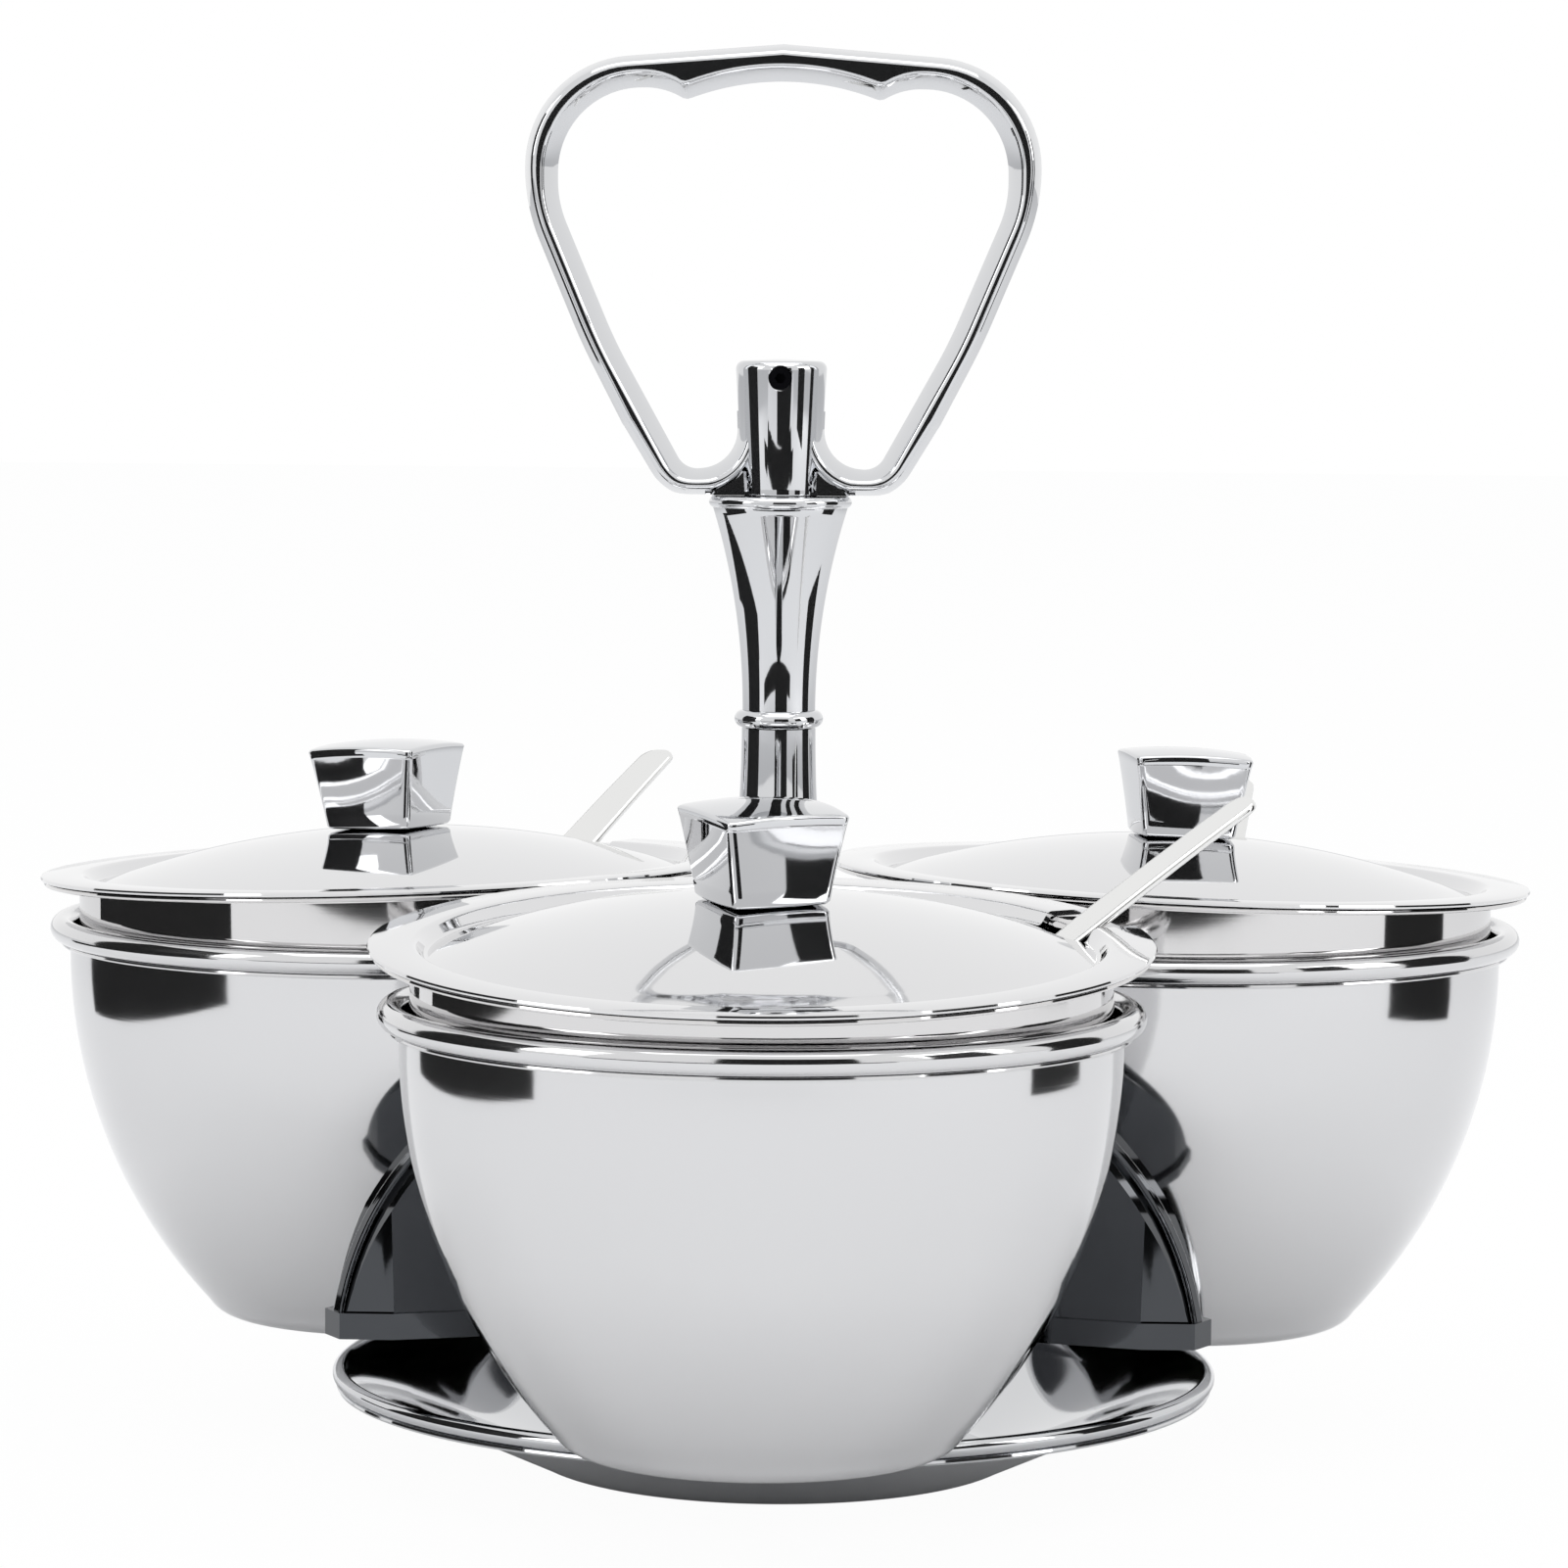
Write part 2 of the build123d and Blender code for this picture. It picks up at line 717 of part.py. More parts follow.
def carrier_form(margin, bottom):
    """The bell and three fins, drawn in by a margin, from a bottom height up."""
    with BuildPart() as fin:
        with BuildSketch(Plane.XY.offset(bottom)):
            fin_plan(fin_foot_half_widths, margin)
        with BuildSketch(Plane.XY.offset(fin_crest_end[1])):
            fin_plan(fin_top_half_widths, margin)
        loft(ruled=True)
        with BuildSketch(Plane.XZ):
            fin_side(margin, bottom)
        extrude(amount=2 * fin_foot_half_widths[0], both=True, mode=Mode.INTERSECT)
    with BuildPart() as form:
        with BuildSketch(Plane.XZ):
            with BuildLine():
                foot = (bell_foot_radius - margin, bottom)
                dome = ThreePointArc(foot, inset(bell_waist, margin), inset(bell_shoulder, margin))
                peak = (bell_top_radius - margin, carrier_top - margin)
                TangentArc(dome @ 1, peak, tangent=dome % 1)
                Polyline(peak, (0, peak[1]), (0, bottom), foot)
            make_face()
        revolve(axis=Axis.Z)
        with PolarLocations(0, cup_count, start_angle=fin_azimuth):
            add(fin.part)
        cut_cups(cradle_gap + margin)
    return form.part


full_form = carrier_form(0, carrier_bottom)
hollow_form = carrier_form(carrier_wall, carrier_bottom - carrier_wall)

with BuildPart() as ribs:
    with BuildSketch(Plane.XY.offset(carrier_bottom + rib_rise)):
        with PolarLocations(0, cup_count, start_angle=fin_azimuth):
            Rectangle(rib_reach, rib_thickness, align=(Align.MIN, Align.CENTER))
    extrude(amount=carrier_top - carrier_bottom)
    add(full_form, mode=Mode.INTERSECT)

# A bead along each fin's crest, cut back over the hollow so that only its proud part is added
with BuildPart() as bead:
    with BuildSketch(Plane.XZ):
        fin_side(-fin_bead, carrier_bottom)
    extrude(amount=fin_bead_half_width, both=True)
    fillet(bead.edges().filter_by(GeomType.BSPLINE), fin_bead * fin_bead_round)
    with BuildSketch(Plane.XZ):
        fin_side(carrier_wall / 2, carrier_bottom)
    extrude(amount=2 * fin_bead_half_width, both=True, mode=Mode.SUBTRACT)

with BuildPart() as plinth_bar:
    with BuildSketch(Plane.XY.offset(carrier_bottom)):
        fin_plan(fin_foot_half_widths, -plinth_step)
    extrude(amount=plinth_height)

with BuildPart() as plinth:
    with BuildSketch(Plane.XY.offset(carrier_bottom)):
        Circle(bell_foot_radius + plinth_step)
    extrude(amount=plinth_height)
    with PolarLocations(0, cup_count, start_angle=fin_azimuth):
        add(plinth_bar.part)
    cut_cups(cradle_gap)

with BuildPart() as carrier:
    add(full_form)
    add(plinth.part)
    add(hollow_form, mode=Mode.SUBTRACT)
    add(ribs.part)
    with PolarLocations(0, cup_count, start_angle=fin_azimuth):
        add(bead.part)
    with BuildSketch(Plane.XY.offset(boss_bottom)):
        Circle(boss_radius)
    extrude(amount=carrier_top - carrier_wall - boss_bottom)
    Hole(rod_radius + rod_clearance)
    for azimuth in cup_azimuth.values():
        for hole in screw_frames(azimuth):
            with BuildSketch(hole.offset(-cup_sheet - cradle_gap)):
                Circle(screw_boss_radius)
            extrude(amount=-screw_length)
    cut_cups(cradle_gap)
    for azimuth in cup_azimuth.values():
        for hole in screw_frames(azimuth):
            with BuildSketch(hole):
                Circle(screw_radius + seat_gap)
            extrude(amount=-screw_length - moving_gap, mode=Mode.SUBTRACT)
save(carrier.part, "carrier")
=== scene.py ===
"""Looks of the rotating server with three lidded bowls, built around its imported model.

Lengths are in metres in the model's own frame: the origin is on the spin axis at the underside
of the base, +Z is up, and the front cup faces -Y.
"""

from __future__ import annotations

import json
import logging
import math
from dataclasses import dataclass
from enum import Enum

import bmesh
import bpy
from mathutils import Matrix, Vector

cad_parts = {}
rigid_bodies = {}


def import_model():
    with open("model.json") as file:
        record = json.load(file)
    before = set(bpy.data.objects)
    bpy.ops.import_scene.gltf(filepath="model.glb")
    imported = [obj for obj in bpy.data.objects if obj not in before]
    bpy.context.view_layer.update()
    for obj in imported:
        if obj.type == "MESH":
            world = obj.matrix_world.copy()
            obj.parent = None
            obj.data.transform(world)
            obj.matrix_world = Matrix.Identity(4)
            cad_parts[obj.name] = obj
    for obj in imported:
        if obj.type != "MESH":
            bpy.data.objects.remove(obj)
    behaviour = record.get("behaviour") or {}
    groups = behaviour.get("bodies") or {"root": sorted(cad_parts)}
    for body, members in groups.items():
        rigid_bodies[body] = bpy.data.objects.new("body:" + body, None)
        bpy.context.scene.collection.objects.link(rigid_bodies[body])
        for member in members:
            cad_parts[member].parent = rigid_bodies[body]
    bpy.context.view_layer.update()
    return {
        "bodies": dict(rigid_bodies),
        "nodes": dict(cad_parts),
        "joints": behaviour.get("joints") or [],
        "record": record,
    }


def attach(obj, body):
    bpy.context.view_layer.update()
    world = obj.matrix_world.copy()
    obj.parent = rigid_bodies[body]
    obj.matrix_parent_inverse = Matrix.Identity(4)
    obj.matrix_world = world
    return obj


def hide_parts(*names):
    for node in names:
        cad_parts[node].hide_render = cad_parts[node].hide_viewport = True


LOG = logging.getLogger("server")
MM = 0.001
# Patches of unlike polish to a metre, each about 17 mm across.
PATCH_SCALE = 60.0
# Marks that run round a piece are fifty times as long as they are high.
ROUND_STRETCH = (0.02, 0.02, 1.0)
# Folds steeper than this, in degrees, stay crisp on turned pieces.
CRISP_DEGREES = 38.0
# Steps round the axis of narrow turned pieces, and of the wide ones that show more of their edge.
NARROW_STEPS = 96
WIDE_STEPS = 192
# A point of a flat section, and a point in space.
Point = tuple[float, float]
Spot = tuple[float, float, float]


def linear(hex_colour: str) -> tuple[float, float, float, float]:
    """Turns an sRGB hex colour to linear light.

    Args:
        hex_colour: A colour such as "#C8C9CB".

    Returns:
        Red, green, blue and an alpha of 1, from 0 to 1.
    """
    channels = [int(hex_colour[i : i + 2], 16) / 255 for i in (1, 3, 5)]
    light = [c / 12.92 if c <= 0.04045 else ((c + 0.055) / 1.055) ** 2.4 for c in channels]
    return (*light, 1.0)


def add_node(
    tree: bpy.types.NodeTree, kind: str, inputs: dict | None = None, **settings: object
) -> bpy.types.Node:
    """Adds a node with its settings, values and links.

    Args:
        tree: The node tree to add to.
        kind: The node's type, such as "ShaderNodeTexNoise".
        inputs: Socket name or number to a value, or to the socket that feeds it.
        **settings: Attributes of the node itself.

    Returns:
        The new node.
    """
    node = tree.nodes.new(kind)
    for name, value in settings.items():
        setattr(node, name, value)
    for socket, value in (inputs or {}).items():
        if isinstance(value, bpy.types.NodeSocket):
            tree.links.new(value, node.inputs[socket])
        else:
            node.inputs[socket].default_value = value
    return node


def new_tree(name: str) -> tuple[bpy.types.Material, bpy.types.NodeTree]:
    """Makes an empty node material.

    Args:
        name: The material's name.

    Returns:
        The material and its node tree.
    """
    material = bpy.data.materials.new(name)
    material.use_nodes = True
    material.node_tree.nodes.clear()
    return material, material.node_tree


class Lay(Enum):
    """Which way the marks of polishing run on a surface."""

    ROUND = "round"
    CLOUD = "cloud"


@dataclass(frozen=True)
class Metal:
    """A polished, brushed or plated metal.

    Attributes:
        name: The finish's own name.
        colour: The metal's reflectance as an sRGB hex colour.
        roughness: Mean roughness of the surface.
        spread: How far the roughness goes up and down from patch to patch.
        grain_mm: Spacing of the polishing marks, which is drawn coarser than real polish has
            it, because real marks are too fine to show.
        depth_mm: Height of the marks.
        lay: Which way the marks run.
        anisotropy: How far highlights smear across the marks.
    """

    name: str
    colour: str
    roughness: float
    spread: float
    grain_mm: float
    depth_mm: float
    lay: Lay = Lay.CLOUD
    anisotropy: float = 0.0

    def build(self) -> bpy.types.Material:
        """Makes the finish's material.

        Returns:
            The node material.
        """
        material, tree = new_tree(self.name)
        place = add_node(tree, "ShaderNodeTexCoord").outputs["Object"]
        cycles = 1 / (self.grain_mm * MM)
        stretch = ROUND_STRETCH if self.lay is Lay.ROUND else (1.0, 1.0, 1.0)
        along = add_node(
            tree, "ShaderNodeVectorMath", {0: place, 1: stretch}, operation="MULTIPLY"
        ).outputs[0]
        marks = add_node(
            tree, "ShaderNodeTexNoise", {"Vector": along, "Scale": cycles, "Detail": 2.0}
        ).outputs[0]
        patches = add_node(
            tree, "ShaderNodeTexNoise", {"Vector": place, "Scale": PATCH_SCALE, "Detail": 3.0}
        ).outputs[0]
        rough = add_node(
            tree,
            "ShaderNodeMapRange",
            {
                "Value": patches,
                "From Min": 0.3,
                "From Max": 0.7,
                "To Min": self.roughness - self.spread,
                "To Max": self.roughness + self.spread,
            },
        ).outputs[0]
        bump = add_node(
            tree,
            "ShaderNodeBump",
            {"Height": marks, "Distance": self.depth_mm * MM, "Strength": 1.0},
        ).outputs[0]
        inputs = {
            "Base Color": linear(self.colour),
            "Metallic": 1.0,
            "Roughness": rough,
            "Normal": bump,
        }
        if self.anisotropy:
            inputs["Anisotropic"] = self.anisotropy
            inputs["Tangent"] = add_node(
                tree, "ShaderNodeTangent", direction_type="RADIAL", axis="Z"
            ).outputs[0]
        shader = add_node(tree, "ShaderNodeBsdfPrincipled", inputs)
        add_node(tree, "ShaderNodeOutputMaterial", {"Surface": shader.outputs[0]})
        return material


@dataclass(frozen=True)
class Plastic:
    """A moulded plastic with a fine grained surface.

    Attributes:
        name: The finish's own name.
        colour: The plastic's colour as an sRGB hex colour.
        roughness: Roughness of the surface.
        grain_mm: Spacing of the grain.
        depth_mm: Height of the grain.
    """

    name: str
    colour: str
    roughness: float
    grain_mm: float
    depth_mm: float = 0.02

    def build(self) -> bpy.types.Material:
        """Makes the finish's material.

        Returns:
            The node material.
        """
        material, tree = new_tree(self.name)
        place = add_node(tree, "ShaderNodeTexCoord").outputs["Object"]
        grain = add_node(
            tree, "ShaderNodeTexNoise", {"Vector": place, "Scale": 1 / (self.grain_mm * MM)}
        ).outputs[0]
        bump = add_node(
            tree, "ShaderNodeBump", {"Height": grain, "Distance": self.depth_mm * MM}
        ).outputs[0]
        inputs = {
            "Base Color": linear(self.colour),
            "Roughness": self.roughness,
            "Normal": bump,
        }
        shader = add_node(tree, "ShaderNodeBsdfPrincipled", inputs)
        add_node(tree, "ShaderNodeOutputMaterial", {"Surface": shader.outputs[0]})
        return material


# Bright nickel-chrome plate on polished castings: near mirror, cold and very faintly uneven.
CHROME_PLATE = Metal("chrome_plate", "#D2D3D5", 0.035, 0.015, 3.0, 0.002)
# The same plate on the spun dish, with a trace of the spinning left in it.
CHROME_DISH = Metal("chrome_dish", "#CDCED0", 0.05, 0.02, 1.2, 0.001, Lay.ROUND)
# Plate on the moulded carrier: as sharp a mirror, with painted shade: its colour is set dark as a
# painted reflection of dark surroundings, to match its tone in the photograph, where the real
# plate may be as bright as the rest and mirror dark surroundings.
PAINTED_SHADE_PLATE = Metal("dark_chrome_plate", "#4B4D50", 0.045, 0.015, 3.0, 0.002)
# Stainless steel, spun to shape and brushed round: fine level lines, highlights drawn upright.
BRUSHED_STEEL = Metal("brushed_stainless", "#D6D6D7", 0.075, 0.015, 0.5, 0.0012, Lay.ROUND, 0.5)
# Stainless steel polished on the wheel: brighter and smoother than the cups.
POLISHED_STEEL = Metal("polished_stainless", "#D6D5D5", 0.05, 0.02, 0.8, 0.0006, Lay.ROUND)
# The lids' steel, buffed: a soft bright mirror.
BUFFED_STEEL = Metal("buffed_stainless", "#DEDEDF", 0.045, 0.015, 0.8, 0.0006, Lay.ROUND)
# Stamped spoon steel with a tumbled shine.
SPOON_STEEL = Metal("spoon_stainless", "#E6E6E5", 0.1, 0.03, 0.6, 0.001)
# Zinc-plated fasteners: greyer, a little dull.
ZINC_STEEL = Metal("zinc_plated_steel", "#A7A9AA", 0.3, 0.05, 0.6, 0.01)
# Blackened set screw down its hole.
BLACK_STEEL = Metal("black_oxide_steel", "#17171A", 0.4, 0.05, 0.4, 0.01)
# Off-white nylon washer under the carrier.
NYLON = Plastic("nylon_washer", "#E4E1D8", 0.45, 0.3)

FINISH_OF_SLOT = {
    "plated_dish": CHROME_DISH,
    # The moulded carrier gets the plate whose dark colour is painted shade and reflection.
    "plated_moulding": PAINTED_SHADE_PLATE,
    "plated_casting": CHROME_PLATE,
    "satin_cup": BRUSHED_STEEL,
    "bright_bowl": POLISHED_STEEL,
    "satin_lid": BUFFED_STEEL,
    "bright_spoon": SPOON_STEEL,
    "steel": ZINC_STEEL,
    "black_steel": BLACK_STEEL,
    "washer": NYLON,
}


def three_point_arc(start: Point, middle: Point, end: Point, steps: int = 16) -> list[Point]:
    """Points along the circle through three points of a section.

    Args:
        start: Where the arc starts.
        middle: A point that it passes.
        end: Where it ends.
        steps: How many chords stand for it.

    Returns:
        The points, from start to end.
    """
    (ax, ay), (bx, by), (cx, cy) = start, middle, end
    a2, b2, c2 = ax**2 + ay**2, bx**2 + by**2, cx**2 + cy**2
    d = 2 * (ax * (by - cy) + bx * (cy - ay) + cx * (ay - by))
    u = (a2 * (by - cy) + b2 * (cy - ay) + c2 * (ay - by)) / d
    v = (a2 * (cx - bx) + b2 * (ax - cx) + c2 * (bx - ax)) / d
    first = math.atan2(ay - v, ax - u)
    passes = (math.atan2(by - v, bx - u) - first) % math.tau
    turn = (math.atan2(cy - v, cx - u) - first) % math.tau
    if passes > turn:
        turn -= math.tau
    return circle_arc((u, v), math.hypot(ax - u, ay - v), first, turn, steps)


def circle_arc(
    centre: Point, radius: float, first: float, turn: float, steps: int = 16
) -> list[Point]:
    """Points along an arc given by its centre, radius, first angle and turn, in radians."""
    angles = [first + turn * i / steps for i in range(steps + 1)]
    return [(centre[0] + radius * math.cos(a), centre[1] + radius * math.sin(a)) for a in angles]


def tangent_arc(start: Point, end: Point, steps: int = 12) -> list[Point]:
    """Points along an arc that leaves its start level and outwards.

    Args:
        start: Where the arc starts.
        end: Where it ends, above or below.
        steps: How many chords stand for it.

    Returns:
        The points, from start to end.
    """
    run, rise = end[0] - start[0], end[1] - start[1]
    radius = (run**2 + rise**2) / (2 * rise)
    turn = 2 * math.atan2(rise, run)
    return circle_arc((start[0], start[1] + radius), radius, -math.pi / 2, turn, steps)


def rounded(points: list[Point], radii: float | list[float], steps: int = 6) -> list[Point]:
    """A run of straight lines with its inner corners rounded.

    Args:
        points: The corners, ends included.
        radii: One radius, or one for each inner corner.
        steps: Chords in each corner.

    Returns:
        The points of the line.
    """
    wanted = radii if isinstance(radii, list) else [radii] * (len(points) - 2)
    line = [points[0]]
    for before, corner, after, radius in zip(points, points[1:], points[2:], wanted):
        b, c, a = Vector(before), Vector(corner), Vector(after)
        back, ahead = (b - c).normalized(), (a - c).normalized()
        half = back.angle(ahead) / 2
        reach = radius / math.tan(half)
        middle = c + (back + ahead).normalized() * radius / math.sin(half)
        nearest = middle + (c - middle).normalized() * radius
        arc = three_point_arc(
            tuple(c + back * reach), tuple(nearest), tuple(c + ahead * reach), steps
        )
        line += arc
    return line + [points[-1]]


def sheet_section(line: list[Point], sheet: float, edge_steps: int = 4) -> list[Point]:
    """The closed section of bent sheet metal, with its last edge rounded over.

    Args:
        line: The upper or inner face, drawn from the axis outwards.
        sheet: Thickness, laid on below the line.
        edge_steps: Chords round the free edge.

    Returns:
        The outline, from the axis out along the face and back along the underside.
    """
    clean = [line[0]]
    for point in line[1:]:
        if math.dist(point, clean[-1]) > 1e-4:
            clean.append(point)
    end = Vector(clean[-1])
    clean[-1] = tuple(end - (end - Vector(clean[-2])).normalized() * sheet / 2)
    below = [way * -sheet for way in sides(clean)]
    under = [(x + move.x, y + move.y) for (x, y), move in zip(clean, below)]
    last, last_under = Vector(clean[-1]), Vector(under[-1])
    middle = (last + last_under) / 2
    first = math.atan2(*(last - middle).yx)
    cap = circle_arc(tuple(middle), sheet / 2, first, -math.pi, edge_steps)[1:-1]
    return clean + cap + under[::-1]


def resampled(line: list[Point], pitch: float) -> list[Point]:
    """A line with points added until none of its runs is longer than the pitch.

    Args:
        line: The line's points.
        pitch: The longest run that stays.

    Returns:
        The points of the finer line.
    """
    points = [line[0]]
    for start, end in zip(line, line[1:]):
        steps = math.ceil(math.dist(start, end) / pitch)
        shares = [i / steps for i in range(1, steps + 1)]
        points += [tuple(Vector(start).lerp(Vector(end), share)) for share in shares]
    return points


def sides(line: list[Point]) -> list[Vector]:
    """Unit directions to the left of a line.

    Args:
        line: The line's points.

    Returns:
        One direction for each point.
    """
    ways = []
    for i in range(len(line)):
        run = Vector(line[min(i + 1, len(line) - 1)]) - Vector(line[max(i - 1, 0)])
        ways.append(Vector((-run.y, run.x)).normalized())
    return ways


def reach_to(line: list[Point], start: Vector, way: Vector) -> float:
    """How far it is to a line.

    Args:
        line: The line's points.
        start: Where the measuring starts.
        way: The unit direction in which it goes.

    Returns:
        The distance to the first crossing, or infinity where there is none.
    """
    nearest = math.inf
    for (ax, ay), (bx, by) in zip(line, line[1:]):
        run = Vector((bx - ax, by - ay))
        off = Vector((ax - start.x, ay - start.y))
        cross = way.cross(run)
        if abs(cross) > 1e-9:
            reach, share = off.cross(run) / cross, off.cross(way) / cross
            if reach > 1e-6 and -1e-6 <= share <= 1 + 1e-6:
                nearest = min(nearest, reach)
    return nearest


def upright_frame(azimuth: float, radius_mm: float) -> Matrix:
    """A frame at a distance from the spin axis, with x pointing away from it."""
    turn = Matrix.Rotation(math.radians(azimuth), 4, "Z")
    return turn @ Matrix.Translation((radius_mm * MM, 0, 0))


def lathe(
    name: str,
    outline: list[Point],
    frame: Matrix,
    material: bpy.types.Material,
    segments: int = 144,
    sharp_degrees: float = CRISP_DEGREES,
) -> bpy.types.Object:
    """Turns a closed outline about its frame's z axis.

    Args:
        name: The piece's name.
        outline: Radii and heights in millimetres.
        frame: Where the axis stands, in the row frame.
        material: Its finish.
        segments: Steps round the axis.
        sharp_degrees: Folds steeper than this stay crisp.

    Returns:
        The new object.
    """
    ring = [p for p in outline if p[0] > 1e-6]
    closed = len(ring) == len(outline)
    verts: list[Spot] = []
    for step in range(segments):
        turn = math.tau * step / segments
        c, s = math.cos(turn), math.sin(turn)
        verts += [(r * MM * c, r * MM * s, z * MM) for r, z in ring]
    count = len(ring)
    faces: list[tuple[int, ...]] = []
    for step in range(segments):
        here, there = step * count, (step + 1) % segments * count
        spans = count if closed else count - 1
        for i in range(spans):
            j = (i + 1) % count
            faces.append((here + i, there + i, there + j, here + j))
    if not closed:
        for end, flip in ((0, False), (count - 1, True)):
            height = [p for p in outline if p[0] <= 1e-6][0 if end == 0 else -1][1]
            verts.append((0, 0, height * MM))
            tip = len(verts) - 1
            for step in range(segments):
                a, b = step * count + end, (step + 1) % segments * count + end
                faces.append((tip, a, b) if flip else (tip, b, a))
    return finished(name, verts, faces, frame, material, sharp_degrees)


def finished(
    name: str,
    verts: list[Spot],
    faces: list[tuple[int, ...]],
    frame: Matrix,
    material: bpy.types.Material,
    sharp_degrees: float,
) -> bpy.types.Object:
    """Makes a smooth-shaded object from its points and faces, facing outwards.

    Args:
        name: The piece's name.
        verts: Points in the frame.
        faces: Their faces.
        frame: The frame, in the row frame.
        material: Its finish.
        sharp_degrees: Folds steeper than this stay crisp.

    Returns:
        The new object, with its origin at the frame's.
    """
    mesh = bpy.data.meshes.new(name)
    mesh.from_pydata(verts, [], faces)
    mesh.transform(frame.to_3x3().to_4x4())
    tidy = bmesh.new()
    tidy.from_mesh(mesh)
    bmesh.ops.recalc_face_normals(tidy, faces=tidy.faces)
    tidy.to_mesh(mesh)
    tidy.free()
    mesh.shade_smooth()
    mesh.set_sharp_from_angle(angle=math.radians(sharp_degrees))
    mesh.materials.append(material)
    piece = bpy.data.objects.new(name, mesh)
    piece.location = frame.translation
    bpy.context.scene.collection.objects.link(piece)
    return piece


def loft(
    name: str,
    rings: list[list[Spot]],
    frame: Matrix,
    material: bpy.types.Material,
    sharp_degrees: float = 60.0,
) -> bpy.types.Object:
    """Skins a row of rings and closes its two ends.

    Args:
        name: The piece's name.
        rings: Rings of as many points each, in millimetres in the frame.
        frame: Their frame, in the row frame.
        material: Its finish.
        sharp_degrees: Folds steeper than this stay crisp.

    Returns:
        The new object.
    """
    count = len(rings[0])
    verts = [(x * MM, y * MM, z * MM) for ring in rings for x, y, z in ring]
    faces: list[tuple[int, ...]] = []
    for level in range(len(rings) - 1):
        for i in range(count):
            a, b = level * count + i, level * count + (i + 1) % count
            faces.append((a, b, b + count, a + count))
    faces += [tuple(range(count)), tuple(range(len(verts) - count, len(verts)))]
    return finished(name, verts, faces, frame, material, sharp_degrees)


def settle(piece: bpy.types.Object, body: str, slot: str, *nodes: str) -> bpy.types.Object:
    """Puts a piece on its body in place of its model nodes, and logs it.

    Args:
        piece: The new object.
        body: The body that it rides.
        slot: Its material slot, which is not used.
        *nodes: The model nodes whose place it takes.

    Returns:
        The same object.
    """
    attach(piece, body)
    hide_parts(*nodes)
    LOG.info("%s on %s for %s", piece.name, body, ", ".join(nodes))
    return piece


@dataclass(frozen=True)
class Place:
    """Where one of the three bowls stands, and how it leans and is turned.

    Attributes:
        name: Its name in the model.
        azimuth: Its direction from the spin axis, in degrees.
        lean: How far its bowl leans outwards, in degrees.
        notch: The spoon notch's direction, in degrees.
        knob: The direction that a side of the knob faces, in degrees.
        spoon: The direction that the spoon's handle points to, in degrees.
        slope: How steeply the handle rises from the bowl's lip, in degrees.
        outside: How far the handle reaches out from the lip, in millimetres.
    """

    name: str
    azimuth: float
    lean: float
    notch: float
    knob: float
    spoon: float
    slope: float
    outside: float


PLACES = (
    Place("front", -90, 3.8, 24.5, 26, 21, 36, 36.5),
    Place("right", 30, 2.3, 80, 8, 80, 34, 26),
    Place("left", 150, 2.3, 56, 66, 56, 32, 32.5),
)


